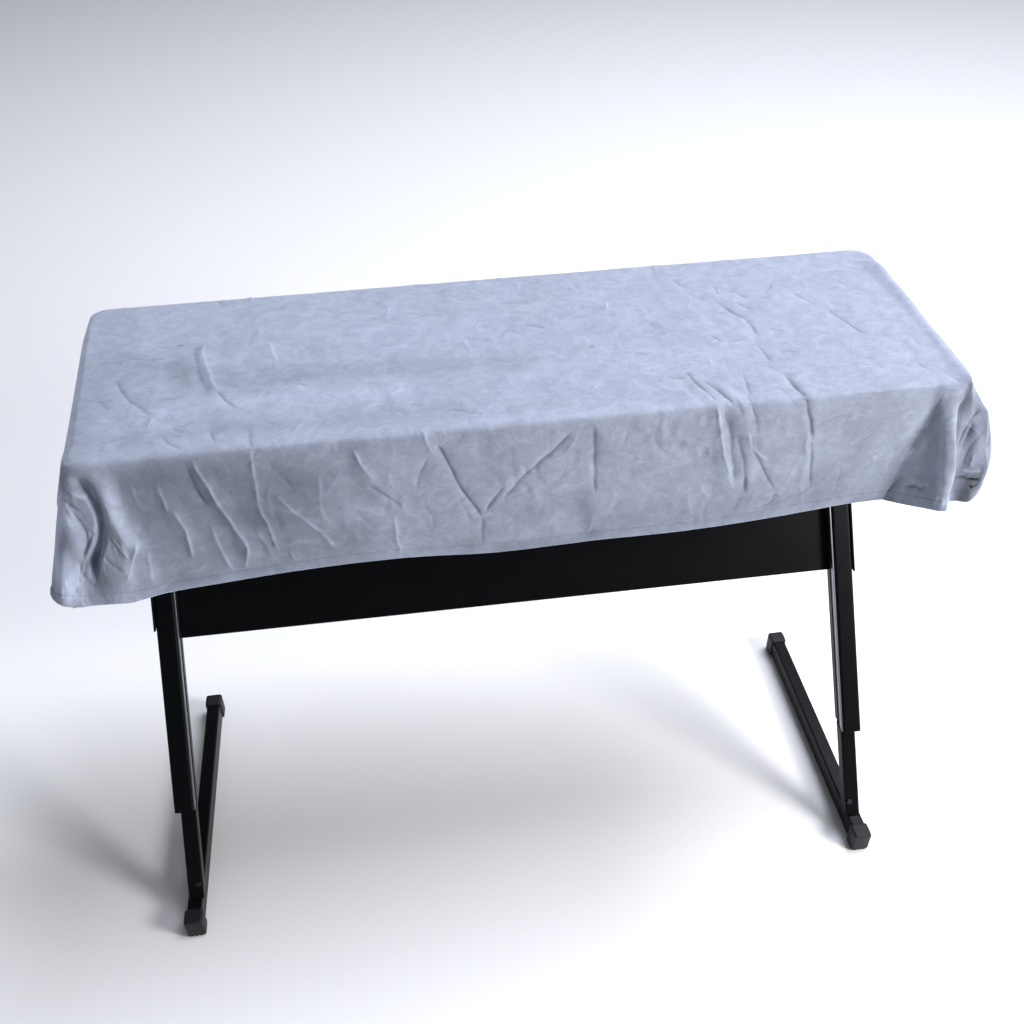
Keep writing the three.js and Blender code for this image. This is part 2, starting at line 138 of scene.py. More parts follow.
velvet = {
    "shadeColour": "#8D93A3",  # pile lying away from the eye
    "midColour": "#969DAD",
    "lightColour": "#A1A8B8",  # pile lying towards the eye
    "sheenColour": "#D9E1F2",
    # painted shade that darkens the stitch dips
    "stitchShadeColour": "#F2F3F6",
    # size in mm, detail, roughness and distortion of each noise
    "patches": (26, 5.0, 0.66, 1.2),  # brushed patches
    "streaks": (9, 6.0, 0.74, 1.0),  # length-wise nap streaks
    "pile": (1.6, 2.0, 0.6, 0.0),  # drawn coarser than the real 0.3 mm pile, so that it shows
}
hemShape = {
    "width": 13.5,  # mm, from the edge up to the stitches
    "stitchPitch": 3.2,
    "swell": 0.5,  # the turned-up hem is this much thicker, each side
    "groove": (0.35, 1.5),  # depth and half width of the dip along the stitches
    "rim": (0.7, 0.9),  # how far the edge is drawn in, and over what height
    "stiffness": (0.5, 9),  # share of the creases lost at the edge, and over what height
}


def warpKnitVelvet():
    # warp-knit polyester velvet, brushed and cropped: dull pile with pale sheen at glancing angles,
    # and brushed patches and streaks where the nap lies another way; the stored shade paints light and shade
    # into its colour
    material, tree = newMaterial("warpKnitVelvet")
    # the flat cloth's x and y, and its stored shade: painted light and shade for the colour
    stored = addNode(tree, "Attribute", {"attribute_name": "flatCloth"})
    parts = addNode(tree, "SeparateXYZ", {}, {"Vector": (stored, "Vector")})
    flat = addNode(tree, "CombineXYZ", {}, {"X": (parts, "X"), "Y": (parts, "Y")})
    stretched = addNode(tree, "Mapping", {"Scale": (0.6, 1.0, 1.0)}, {"Vector": (flat, "Vector")})
    noises = []
    for key, source in (("patches", flat), ("streaks", stretched), ("pile", flat)):
        size, detail, roughness, distortion = velvet[key]
        settings = {"Scale": 1000 / size, "Detail": detail, "Roughness": roughness, "Distortion": distortion}
        noises.append(addNode(tree, "TexNoise", settings, {"Vector": (source, "Vector")}))
    patches, streaks, pile = noises
    fainter = addNode(tree, "Math", {"operation": "MULTIPLY", 1: 0.7}, {0: (streaks, 0)})
    both = addNode(tree, "Math", {"operation": "MULTIPLY_ADD", 1: 1.3}, {0: (patches, 0), 2: (fainter, 0)})
    nap = addNode(tree, "MapRange", {"From Min": 0.72, "From Max": 1.28}, {"Value": (both, 0)})
    ramp = addNode(tree, "ValToRGB", {}, {"Fac": (nap, "Result")})
    ramp.color_ramp.elements[0].color = linear(velvet["shadeColour"])
    ramp.color_ramp.elements[1].color = linear(velvet["lightColour"])
    ramp.color_ramp.elements.new(0.5).color = linear(velvet["midColour"])
    # painted light and shade: the colour is scaled by 1 plus the stored shade
    paintedShadeScale = addNode(tree, "Math", {"operation": "ADD", 1: 1.0}, {0: (parts, "Z")})
    scaling = {0: (ramp, "Color"), "Scale": (paintedShadeScale, 0)}
    napColourWithPaintedShade = addNode(tree, "VectorMath", {"operation": "SCALE"}, scaling)
    # stitches: a row of short dips above the edge, along the distance run round the hem; the colour is
    # darkened there with painted shade
    hemPlace = addNode(tree, "Attribute", {"attribute_name": "hemPlace"})
    split = addNode(tree, "SeparateXYZ", {}, {"Vector": (hemPlace, "Vector")})
    pitch = 2000 * np.pi / hemShape["stitchPitch"]
    turns = addNode(tree, "Math", {"operation": "MULTIPLY", 1: pitch}, {0: (split, "X")})
    wave = addNode(tree, "Math", {"operation": "SINE"}, {0: (turns, 0)})
    offset = addNode(tree, "Math", {"operation": "SUBTRACT", 1: hemShape["width"] / 1000}, {0: (split, "Y")})
    away = addNode(tree, "Math", {"operation": "ABSOLUTE"}, {0: (offset, 0)})
    fading = {"From Min": 0.0004, "From Max": 0.0013, "To Min": 1.0, "To Max": 0.0}
    line = addNode(tree, "MapRange", fading, {"Value": (away, 0)})
    dip = addNode(tree, "MapRange", {"From Min": -1.0, "From Max": 1.0, "To Min": 0.25}, {"Value": (wave, 0)})
    stitch = addNode(tree, "Math", {"operation": "MULTIPLY"}, {0: (line, 0), 1: (dip, 0)})
    stitchShading = {"data_type": "RGBA", "blend_type": "MULTIPLY", 7: linear(velvet["stitchShadeColour"])}
    shaded = addNode(tree, "Mix", stitchShading, {0: (stitch, 0), 6: (napColourWithPaintedShade, 0)})
    height = addNode(tree, "Math", {"operation": "MULTIPLY", 1: -0.9}, {0: (stitch, 0)})
    for share, noise in ((0.5, pile), (1.6, streaks)):
        links = {0: (noise, 0), 2: (height, 0)}
        height = addNode(tree, "Math", {"operation": "MULTIPLY_ADD", 1: share}, links)
    bump = addNode(tree, "Bump", {"Strength": 0.45, "Distance": 0.0011}, {"Height": (height, 0)})
    settings = {
        "Roughness": 0.92,
        "Specular IOR Level": 0.2,
        "Sheen Weight": 0.9,
        "Sheen Roughness": 0.36,
        "Sheen Tint": linear(velvet["sheenColour"]),
    }
    finishMaterial(tree, settings, {"Base Color": (shaded, 2), "Normal": (bump, "Normal")})
    return material


# Two colours are mixed by a broad grain, and a fine grain raises the surface: each has its size in mm, its
# detail and its roughness. "stretch" draws both out, and "gloss" is the roughness over the broad grain.
mouldedPlastic = {
    # moulded in a spark-eroded tool: dull, finely grained, a little paler where it is rubbed
    "broad": (18, 4.0, 0.65),
    "bump": (0.3, 0.0003),
    "shader": {"Roughness": 0.55, "Specular IOR Level": 0.3},
}
drawnSteel = {
    # cold-drawn: bright, with fine drawing lines along its length
    "broad": (1.2, 3.0, 0.6),
    "fine": (1.2, 3.0, 0.6),
    "stretch": (1.0, 1.0, 0.04),
    "bump": (0.2, 0.0001),
    "shader": {"Metallic": 1.0, "Roughness": 0.34},
}
hardFinishes = {
    # steel tube, powder coated black and baked: satin, with a faint orange peel and a little dust
    "powderCoatedSteel": {
        "colours": ("#040506", "#08090B"),
        "broad": (34, 5.0, 0.7),
        "fine": (1.8, 2.0, 0.5),
        "gloss": (0.3, 0.42),
        "bump": (0.12, 0.0002),
        "shader": {"Specular IOR Level": 0.12},
    },
    "mouldedAbs": {**mouldedPlastic, "colours": ("#0F1012", "#191B1E"), "fine": (1.4, 3.0, 0.7)},
    "mouldedCaseAbs": {**mouldedPlastic, "colours": ("#101113", "#1A1C1F"), "fine": (1.0, 3.0, 0.7)},
    "zincPlatedSteel": {**drawnSteel, "colours": ("#7E8186", "#A2A5A9")},
    "blackenedSteel": {**drawnSteel, "colours": ("#25272A", "#3B3D41")},
}


def hardMaterial(name):  # a metal or plastic from its row above
    finish = hardFinishes[name]
    material, tree = newMaterial(name)
    place = addNode(tree, "TexCoord")
    stretch = {"Scale": finish.get("stretch", (1, 1, 1))}
    drawn = addNode(tree, "Mapping", stretch, {"Vector": (place, "Object")})
    grains = []
    for size, detail, roughness in (finish["broad"], finish["fine"]):
        settings = {"Scale": 1000 / size, "Detail": detail, "Roughness": roughness}
        grains.append(addNode(tree, "TexNoise", settings, {"Vector": (drawn, "Vector")}))
    broad, fine = grains
    dark, pale = finish["colours"]
    tone = addNode(tree, "Mix", {"data_type": "RGBA", 6: linear(dark), 7: linear(pale)}, {0: (broad, 0)})
    strength, distance = finish["bump"]
    bump = addNode(tree, "Bump", {"Strength": strength, "Distance": distance}, {"Height": (fine, 0)})
    links = {"Base Color": (tone, 2), "Normal": (bump, "Normal")}
    if "gloss" in finish:
        low, high = finish["gloss"]
        gloss = addNode(tree, "MapRange", {"To Min": low, "To Max": high}, {"Value": (broad, 0)})
        links["Roughness"] = (gloss, "Result")
    finishMaterial(tree, finish["shader"], links)
    return material


# materials, some paired with a slot's name
clothFinish = (warpKnitVelvet(), "velvet")
paint = (hardMaterial("powderCoatedSteel"), "black_paint")
capPlastic = (hardMaterial("mouldedAbs"), "black_plastic")
caseMaterial = hardMaterial("mouldedCaseAbs")
zincPlate = (hardMaterial("zincPlatedSteel"), "bright_metal")
screwFinish = (hardMaterial("blackenedSteel"), "bright_metal")
print("materials ready")

caseLow, caseHigh = boxOf("keyboard_case")
cover = {
    "caseGap": 4,  # mm, from the case's sides to the cloth's outer face
    "topGap": 2.3,  # the cloth's thickness and the touching gap
    "leftSlant": 20,  # the case's left end runs back outwards by this much
    "cornerInset": 40,  # from an edge to where the corner fans start
    "cornerSquareness": (6, 2.8, 2.8, 6),  # front right, back right, back left, front left
    "bendRadius": 9,
    "skirtLength": 150,  # roughly
    "closeRows": (19.5, 18, 16.5, 15.4, 14.4, 13.5, 12.6, 11.6, 10.2, 8.4, 6.6, 4.8, 3, 1.4, 0.5, 0),
    "thickness": 2,
    "cell": 1.3,  # of the lattice, before it is thinned
    "flatRows": 18,
    "bendRows": 11,
    "innerStride": 8,  # the inner face has every eighth row and column
    "triangles": 192000,  # what the thinned cloth keeps
    "lift": 1.5,  # loose cloth stands this far off the case between its creases
    "jointReach": 24,  # rows either side of a joint between a fan and a straight skirt that are smoothed
    "jointFocus": 2.4,  # how strongly that gathers at the joint
    "jointLead": 16,  # rows below the bend over which it sets in
    "jointPasses": (60, 10),  # at the left and front joints, at the right and rear ones
    "settlePasses": 6,
    "leastAgreement": 0.15,  # cosine between a turned-over face and its corners' normals, at most
}
frontEdge = caseLow[1] - cover["caseGap"]
backEdge = caseHigh[1] + cover["caseGap"]
rightEdge = caseHigh[0] + cover["caseGap"]
backLeftEdge = caseLow[0] - cover["caseGap"]
frontLeftEdge = backLeftEdge + cover["leftSlant"]
clothTop = caseHigh[2] + cover["topGap"]

# The hem, round the cloth. Whole places are the ends of the four straight edges: 0 to 1 is the front from
# left to right, 1 to 2 its right corner, 2 to 3 the right end, and so on round to 8.
# place, sideways and backwards from the edge, drop below the top, outward belly of the skirt
hemTable = np.array([
    (0.0, 8, -22, 179, 0), (0.03, 7, -15, 179, 0), (0.1, 4, -9, 178, 0), (0.2, 4, -9, 171, 0),
    (0.33, 2, -6, 171, 0), (0.45, 0, -11, 172, 0), (0.58, 0, -6, 174, 0), (0.7, 0, -7, 172, 0),
    (0.82, -6, -9, 163, 0), (0.93, -25, -7, 156, 0), (0.97, -33, -7, 155, 0), (1.0, -42, -8, 154, 0),
    (1.03, -40, -11, 154, 0), (1.06, -37, -15, 153, 0), (1.12, -29, -23, 152, 0), (1.19, -20, -33, 150, 0),
    (1.33, -7, -50, 145, 0), (1.45, 0, -30, 150, 0), (1.6, 17, -42, 151, 6), (1.8, 37, -38, 148, 19),
    (2.0, 37, -20, 152, 18), (2.45, 16, 0, 158, 6), (2.85, 10, 2, 160, 0), (3.1, 8, 16, 160, 0),
    (3.5, 36, 40, 150, 0), (3.9, 24, 10, 160, 0), (4.1, 6, 8, 163, 0), (4.28, 0, 20, 165, 0),
    (4.45, 0, 9, 167, 0), (4.62, 0, 19, 166, 0), (4.85, -4, 8, 164, 0), (5.1, -18, 10, 162, 0),
    (5.5, -40, 38, 152, 0), (5.9, -12, 16, 160, 0), (6.15, -14, 2, 160, 0), (6.5, -22, 0, 160, 0),
    (6.8, -39, -8, 164, 0), (7.0, -52, -24, 164, 0), (7.25, -51, -42, 162, 1), (7.42, -38, -47, 162, 1),
    (7.52, -25, -42, 166, 0), (7.62, -14, -35, 170, 0), (7.78, -4, -34, 171, 0), (7.9, 3, -29, 176, 0),
], float)
hemStretches = np.array([940, 170, 250, 190, 940, 190, 250, 120])  # roughly, in mm along the hem

# The cloth's broad folds, as its solid has them, in the flat cloth's own sizes.
# height, half width, then x and y of each point of the route
folds = [
    (-15, 13, -490, 114, -474, 106, -470, 90, -471, 72, -480, 56, -500, 40, -530, 27, -552, 18),
    (5, 22, -520, 100, -530, 74, -552, 54), (7, 21, -448, 124, -453, 88, -454, 60, -449, 30, -446, 4),
    (8, 22, 489, 124, 503, 103, 528, 66, 548, 34, 571, 0), (-7, 11, 512, 118, 529, 90, 547, 69, 563, 46),
    (4, 22, 558, 150, 568, 120, 580, 96, 592, 70), (4, 26, 514, 120, 526, 170, 530, 240, 526, 330, 514, 440),
    (3, 55, -380, 360, -100, 352, 440, 340), (3, 28, -380, 228, -100, 222, 60, 214),
    (1.5, 18, -45, -8, -46, -40), (1.6, 15, 203, 208, 220, 134, 235, 60, 249, 12),
    (1.6, 15, 221, 184, 246, 128, 264, 60, 270, 0), (1.2, 15, 319, 181, 328, 126, 340, 60, 348, 0),
    (2, 16, -352, 118, -327, 46, -314, -8, -318, -38), (1.6, 15, -390, 90, -378, 30, -366, -20),
    (1.6, 14, -181, 112, -165, 66, -131, 20), (1.2, 18, -356, 350, -352, 318, -333, 250, -303, 209),
    # the back
    (2.6, 34, -394, 478, -384, 545, -372, 690), (-2.0, 38, -244, 486, -226, 550, -214, 690),
    (3.0, 40, -86, 480, -76, 548, -60, 690), (-2.2, 36, 58, 490, 72, 552, 78, 690),
    (2.6, 38, 222, 482, 230, 545, 240, 690), (-2.0, 34, 352, 488, 356, 550, 366, 690),
]

# The creases, placed one by one in the same way: above zero a ridge, below zero a trough.
creases = [
    # the left ear
    (-1.8, 2.4, -514, 117, -505, 94, -497, 84), (-2.2, 2.7, -511, 94, -510, 74, -511, 61, -523, 49, -543, 41),
    (1.9, 2.7, -500, 114, -488, 100, -474, 92, -475, 76), (-1.8, 2.4, -492, 57, -529, 46, -546, 38),
    (-1.8, 2.4, -536, 40, -546, 29, -565, 24), (1.5, 2.4, -526, 33, -542, 24, -557, 15),
    (1.9, 2.4, -473, 49, -459, 22, -447, 4), (1.9, 2.4, -430, 32, -437, 17, -448, 0),
    (-1.5, 2.4, -505, 30, -490, 12, -470, -8), (-1.4, 2.4, -540, 44, -556, 32, -575, 21),
    # the right ear
    (-1.9, 2.7, 557, 130, 553, 102, 559, 79, 566, 62), (-1.9, 2.4, 559, 108, 566, 82, 570, 70),
    (-1.2, 3, 576, 112, 577, 86, 584, 70, 595, 52), (-3.4, 2.6, 589, 37, 613, 56, 640, 86),
    (2, 2.4, 586, 46, 604, 62, 626, 88), (-1.8, 2.4, 616, 50, 631, 60, 642, 83), (1.6, 2.4, 589, 83, 603, 63),
    (1.5, 2.7, 560, 144, 572, 122, 596, 104), (-2, 2.1, 499, -7, 516, 1, 527, 3, 532, 16),
    # left half of the top
    (1.1, 3.5, -352, 350, -352, 322, -337, 262, -329, 238),
    (-1.1, 4, -362, 346, -361, 320, -348, 262, -335, 238), (-1.6, 2.4, -333, 242, -320, 220, -303, 202),
    (-0.7, 6, -374, 300, -368, 268, -356, 238), (-1.4, 2.7, -450, 286, -430, 242, -420, 231, -397, 201),
    (-1, 1.9, -397, 201, -413, 189), (-1, 1.9, -397, 201, -383, 190), (0.8, 1.9, -396, 200, -401, 181),
    (-1.1, 2.1, -378, 184, -367, 172, -354, 169), (-1.1, 2.4, -385, 167, -376, 150, -357, 133),
    (-1, 3, -464, 250, -446, 218), (1, 3, -275, 342, -270, 313, -262, 293), (0.8, 3, -43, 314, -35, 273),
    (-1, 2.4, -134, 183, -120, 163), (-1, 3, -122, 188, -80, 171, -36, 150),
    (-1.1, 2.7, -295, 207, -292, 177, -287, 122), (-0.9, 2.4, -348, 181, -334, 169, -325, 137),
    (1, 8, -451, 344, -419, 333, -387, 316, -370, 304), (-0.7, 3, -405, 233, -363, 237),
    (-1.3, 10, -298, 270, -250, 270, -191, 277),
    (-1.6, 9, -398, 197, -348, 183, -295, 177, -240, 180, -204, 177, -129, 179),
    (-1.3, 12, -289, 272, -144, 271, 2, 258), (-1.4, 12, -378, 190, -236, 184, -54, 173),
    (-1.1, 10, -133, 254, 43, 252),
    # right half of the top
    (-1.2, 2.1, 277, 350, 292, 318, 306, 298, 308, 259), (-1, 2.1, 302, 247, 305, 220, 310, 199),
    (-0.8, 2.1, 381, 358, 395, 327, 407, 314), (-1.2, 2.1, 410, 310, 424, 276, 437, 241),
    (-0.7, 2.1, 307, 367, 322, 340), (-0.8, 2.4, 239, 417, 254, 382), (-0.7, 2.1, 187, 316, 193, 291),
    (-0.9, 1.9, 251, 272, 263, 255), (-1, 2.1, 174, 193, 204, 184), (-0.7, 2.4, 318, 279, 346, 267),
    (-0.6, 2.4, 373, 270, 391, 253, 414, 244), (-0.8, 2.4, 315, 231, 352, 214),
    (-0.7, 2.1, 240, 215, 259, 210), (-1, 2.4, 268, 189, 266, 166, 262, 134),
    # over the front edge
    (-1.6, 2.1, 203, 202, 208, 177, 217, 150, 224, 128), (-1.6, 2.1, 217, 178, 231, 150, 238, 134, 247, 122),
    (-1.8, 2.7, 314, 182, 317, 150, 325, 122), (-1.2, 2.4, 241, 140, 253, 113),
    # the front, from the left
    (1.5, 3, -459, 39, -451, 5), (1.5, 3, -431, 32, -446, 1, -477, -21), (1.4, 3, -424, 14, -431, -33),
    (1.6, 2.4, -393, 100, -391, 80, -389, 56), (2.4, 2.4, -385, 66, -378, 42, -376, 23, -378, -10),
    (-1.6, 2.4, -357, 120, -354, 86, -345, 60),
    (2.4, 2.7, -352, 126, -340, 88, -332, 59, -325, 35, -316, 6, -316, -7, -323, -34),
    (1.6, 2.7, -349, 40, -347, 15, -343, -11, -336, -34),
    (1.6, 2.7, -287, 133, -290, 94, -292, 52, -287, 29, -283, -12),
    (1.6, 2.7, -274, 71, -252, 37, -230, 9, -217, -18), (1.1, 3, -221, 95, -226, 37, -215, 19),
    (1.2, 2.7, -303, 26, -294, -1, -287, -27), (1.1, 2.7, -272, -7, -263, -31),
    (1, 2.4, -399, -28, -373, -23, -361, -14), (0.8, 2.7, -275, -6, -259, 1, -211, -10),
    (1.8, 2.4, -183, 123, -173, 97, -161, 72), (-1.6, 2.4, -174, 74, -155, 55, -132, 29),
    (1.5, 2.7, -146, 30, -146, -8, -142, -38), (1.5, 2.4, -104, 136, -100, 115, -94, 102),
    (-1.2, 2.1, -100, 101, -111, 79, -118, 54), (-3.0, 2.2, -91, 118, -82, 94, -69, 55, -58, 34, -45, 10),
    (-1.5, 3, -45, 15, -47, -32), (-2.6, 2.4, -44, 14, -32, 31, -17, 54),
    (-2.2, 2.3, -22, 30, 4, 60, 28, 82, 45, 99, 62, 116), (-2, 2.7, 83, 122, 85, 70, 87, 22),
    (2, 2.1, 220, 132, 230, 90, 237, 60, 247, 26), (-2.9, 3.6, 230, 127, 240, 92, 246, 60, 254, 22),
    (-2, 3, 246, 92, 257, 64, 264, 34, 268, 2), (-1.4, 2.4, 257, 142, 264, 121, 271, 99),
    (1.5, 2.1, 257, 98, 268, 72, 291, 47), (-1.5, 2.4, 262, 88, 275, 59, 292, 27, 306, 5),
    (-1.2, 2.4, 306, 9, 303, -10, 287, -19), (-1, 3, 264, 6, 255, -22),
    (-3.1, 3, 321, 138, 325, 122, 334, 98, 341, 72), (-2, 3, 339, 78, 345, 47, 354, 2),
    # the back, from the left
    (1.8, 2.6, -402, 452, -396, 500, -385, 548, -382, 590), (-1.6, 2.4, -370, 470, -362, 515, -350, 560),
    (1.5, 2.6, -300, 440, -304, 490, -296, 530), (1.9, 2.7, -268, 520, -250, 562, -246, 600),
    (-1.8, 2.6, -215, 455, -204, 500, -180, 548, -165, 590), (1.4, 2.4, -160, 480, -150, 530, -148, 566),
    (2.2, 2.7, -92, 452, -86, 495, -72, 540, -70, 598), (-1.5, 2.4, -60, 500, -40, 540, -10, 566),
    (-1.3, 2.2, 12, 462, 6, 498, 14, 530), (1.8, 2.5, 48, 470, 60, 520, 58, 572),
    (-2.2, 2.6, 118, 452, 124, 492, 140, 536, 146, 585), (1.5, 2.4, 140, 500, 165, 545, 172, 590),
    (1.7, 2.6, 228, 446, 222, 500, 232, 556), (-1.4, 2.4, 262, 520, 250, 560, 254, 596),
    (2, 2.6, 318, 452, 330, 502, 326, 548, 334, 600), (-1.7, 2.5, 372, 470, 384, 520, 402, 566),
    (1.5, 2.4, 420, 455, 428, 500, 440, 540), (1.2, 2.4, -330, 596, -290, 586, -262, 594),
    (-1.1, 2.4, 30, 592, 66, 584, 100, 594), (1, 2.4, 268, 604, 300, 590, 350, 596),
    # the left end and its rear corner
    (1.6, 2.5, -510, 330, -560, 322, -620, 330), (-1.7, 2.5, -508, 285, -550, 278, -600, 290, -640, 286),
    (1.8, 2.6, -520, 240, -570, 250, -630, 244), (-1.4, 2.4, -505, 392, -560, 398, -610, 384),
    (1.3, 2.4, -560, 210, -610, 204, -650, 212), (2, 2.6, -515, 470, -545, 500, -585, 545),
    (-1.8, 2.5, -500, 480, -515, 530, -530, 580), (-1.6, 2.5, -530, 452, -580, 474, -630, 500),
    # the right end and its rear corner
    (1.7, 2.5, 520, 330, 570, 336, 630, 326), (-1.8, 2.6, 525, 290, 580, 282, 640, 292),
    (1.5, 2.4, 522, 250, 560, 256, 610, 246, 650, 252), (-1.3, 2.4, 520, 390, 565, 380, 615, 392),
    (1.4, 2.4, 540, 210, 600, 216, 650, 206), (2, 2.6, 530, 470, 562, 502, 598, 548),
    (-1.8, 2.5, 512, 480, 526, 530, 540, 585), (-1.5, 2.5, 545, 455, 595, 476, 640, 505),
]

# Places of painted light and shade, and some where the nap lies another way: above zero paler, below zero
# darker.
# shade, half width, route
napAndPaintedLight = [
    (0.24, 19, -443, 120, -444, 90, -441, 60, -436, 30), (1.1, 34, -592, 128, -560, 112, -530, 102),
    (-0.16, 26, -316, 46, -276, 30), (0.07, 24, -178, 24, -150, 14),
    (-0.13, 24, -475, 112, -400, 110, -330, 110), (-0.17, 28, -176, 116, -172, 60),
    (-0.12, 24, -27, 114, -24, 70), (-0.13, 28, 226, 96, 224, 34), (-0.12, 46, 405, 108, 400, 60, 380, 0),
    (-0.2, 20, -470, -34, -370, -36), (-0.16, 20, -25, -40, 85, -42), (-0.16, 26, -330, 244, -280, 240),
    (-0.15, 24, -530, 34, -524, 8), (0.12, 20, 474, 112, 474, 66), (-0.36, 66, -410, 84, -330, 84, -245, 74),
    (-0.26, 66, -400, 14, -300, 4, -210, -8), (0.1, 16, -428, 20, -426, -35),
    (-0.36, 40, -545, 8, -500, -6, -470, 24), (0.15, 24, -566, 118, -552, 84, -560, 62),
    (1.1, 40, -600, 140, -594, 100, -588, 64, -584, 36), (0.4, 44, -575, 190, -572, 430),
    (0.9, 28, -548, 150, -522, 130), (-0.4, 60, 580, 118, 608, 82, 618, 46),
    (-0.42, 36, 644, 120, 634, 80, 632, 30), (-0.36, 30, 530, 122, 556, 142, 584, 128),
    (0.25, 10, 503, 98, 524, 62, 543, 31, 562, 0), (-0.3, 11, 480, 124, 486, 104, 490, 78, 488, 50),
    (-0.42, 24, 520, 128, 530, 104, 542, 76, 552, 56), (-0.12, 36, 80, -12, 250, -8, 420, 4, 474, 6),
    (-0.44, 28, 440, -38, 500, -42, 540, -40), (-0.08, 44, -472, 420, -440, 300, -430, 180),
    (-0.09, 24, -382, 345, -372, 265), (-0.2, 38, 486, -12, 522, -16, 535, -20),
    (-0.1, 44, -60, -36, 120, -44, 300, -32, 420, -28), (-0.12, 30, -15, 10, 68, 8),
    (-0.2, 14, 72, 30, 84, -30), (-0.15, 12, 82, 118, 92, 84), (0.1, 18, -140, 100, -140, 60),
    (-0.1, 20, 267, 104, 270, 84), (-0.14, 30, -480, 330, -472, 240, -468, 150),
    (-0.14, 32, -440, 318, -340, 276, -240, 266, -110, 258, 10, 246), (-0.12, 22, -378, 318, -376, 258),
    (-0.12, 24, -290, 296, -262, 262, -230, 262),
    (-0.14, 24, -420, 158, -340, 168, -230, 168, -120, 166, -60, 166),
    (0.11, 20, -390, 216, -240, 214, -120, 208), (0.06, 34, 80, 236, 150, 226, 260, 232),
    (0.05, 40, -240, 350, -60, 335), (-0.07, 26, -62, 440, -60, 370), (-0.06, 24, 62, 440, 68, 390),
    (0.08, 20, -380, 148, -355, 140), (0.08, 14, -60, 138, 40, 138, 170, 132, 208, 134),
    (-0.14, 50, -330, 500, -220, 540, -120, 520), (-0.12, 46, 90, 560, 180, 520, 300, 545),
    (0.1, 30, -40, 500, 20, 560, 40, 600), (0.1, 26, 360, 500, 420, 560),
]
creaseShape = {
    "crest": 0.7,  # share of a crease's height in its sharp crest; the rest is a low tent round it
    "crestWidth": 0.8,  # half widths
    "crestPower": 1.2,
    "tentWidth": 4.2,  # crest widths
    "scale": 1.15,  # all heights are raised by this
    "taper": 14,  # mm over which a crease starts and ends
    "wander": (0.9, 11),  # mm that a crease strays from its route, and over what length
    "unevenness": (0.45, 15),  # share by which its height varies, and over what length
    "reach": 7,  # half widths past which a crease is nil
    "shade": 0.3,  # painted highlight on a ridge and painted shade in a trough, paler or darker by this share
    "shadeLimits": (-0.4, 0.3),
}
strayCreases = {
    "count": 300,
    "seed": 31,
    "within": ((-620, -20), (650, 600)),
    "topPatch": (480, 150, 450),  # the top: half its width, and from where to where it runs back
    "uprightOnTop": 0.3,  # the share that run towards the hem
    "uprightOnSkirt": 0.7,
    "uprightTurn": (0.9, 2.24),  # radians
    "levelTurn": (-0.35, 0.5),
    "lengths": (14, 58),
    "heights": (0.25, 0.75),
    "halfWidth": 2.1,
    "bend": 0.12,  # share of its length that a middle point may lie off the line
}
slack = {
    # cell in mm and seed of each noise
    "wide": (62, 21),
    "middling": (29, 22),
    "pucker": (14, 23),
    "sway": (23, 24),
    "puckerPatches": (70, 25),
    "swayBy": 6,  # mm
    # height on the top, and what is added where the cloth hangs
    "wideHeight": (0.35, 0.75),
    "puckerHeight": (0.3, 0.5),
}


def alongHem(place):  # millimetres round the hem up to a place
    marks = np.append(0, np.cumsum(hemStretches))
    rounds, part = np.divmod(place, 8)
    return rounds * marks[-1] + np.interp(part, np.arange(9), marks)


def hemValue(column, place):
    # a column of the hem table, joined round the cloth by cubics through its rows (Catmull-Rom, uneven steps)
    at = alongHem(np.concatenate([hemTable[-2:, 0] - 8, hemTable[:, 0], hemTable[:2, 0] + 8]))
    place = alongHem(place)
    value = np.concatenate([hemTable[-2:, column], hemTable[:, column], hemTable[:2, column]])
    k = np.clip(np.searchsorted(at, place, side="right"), 2, len(at) - 2)
    step = at[k] - at[k - 1]
    t = (place - at[k - 1]) / step
    leave = (value[k] - value[k - 2]) / (at[k] - at[k - 2]) * step
    arrive = (value[k + 1] - value[k - 1]) / (at[k + 1] - at[k - 1]) * step
    near = (2 * t**3 - 3 * t**2 + 1) * value[k - 1] + (t**3 - 2 * t**2 + t) * leave
    return near + (3 * t**2 - 2 * t**3) * value[k] + (t**3 - t**2) * arrive


def hemShift(place):  # sideways and backwards from the edge
    return np.stack([hemValue(1, place), hemValue(2, place)], -1)


def topPoint(across, back):  # the rectangle on the top from which the skirts start, with a slanted left side
    left = frontLeftEdge + (backLeftEdge - frontLeftEdge) * back + cover["cornerInset"]
    right = rightEdge - cover["cornerInset"]
    depth = backEdge - frontEdge - 2 * cover["cornerInset"]
    y = frontEdge + cover["cornerInset"] + depth * back
    return np.stack([left + (right - left) * across, y, np.full_like(across, clothTop)], -1)


def skirtStart(place):
    # Where each place's skirt line starts on the top, the way it leaves, and its stretch of the hem. It
    # leaves square to a straight side, and turns evenly through a quarter circle round a corner.
    stretch, share = np.floor(place).astype(int) % 8, place - np.floor(place)
    nil, one = 0 * share, 0 * share + 1
    across = np.choose(stretch, [share, one, one, one, 1 - share, nil, nil, nil])
    back = np.choose(stretch, [nil, nil, share, one, one, one, 1 - share, nil])
    quarter = np.array([-1, -1, 0, 0, 1, 1, 2, 2])[stretch] + np.where(stretch % 2 == 1, share, 0)
    way = np.stack([np.cos(quarter * np.pi / 2), np.sin(quarter * np.pi / 2), nil], -1)
    return topPoint(across, back), way, stretch


def skirtSteps():
    # shares of the way down the skirt: even rows, then closer ones round the stitches and the rim
    length, close = cover["skirtLength"], np.array(cover["closeRows"])
    even = np.arange(cover["cell"], length - close[0] - 1, cover["cell"])
    return np.concatenate([even / length, 1 - close / length])


def cellCount(span, rings):  # cells across the middle block, so that the whole divides by the inner stride
    count = int((span - 2 * cover["cornerInset"]) / cover["cell"])
    return count + (-count - 2 * rings) % cover["innerStride"]


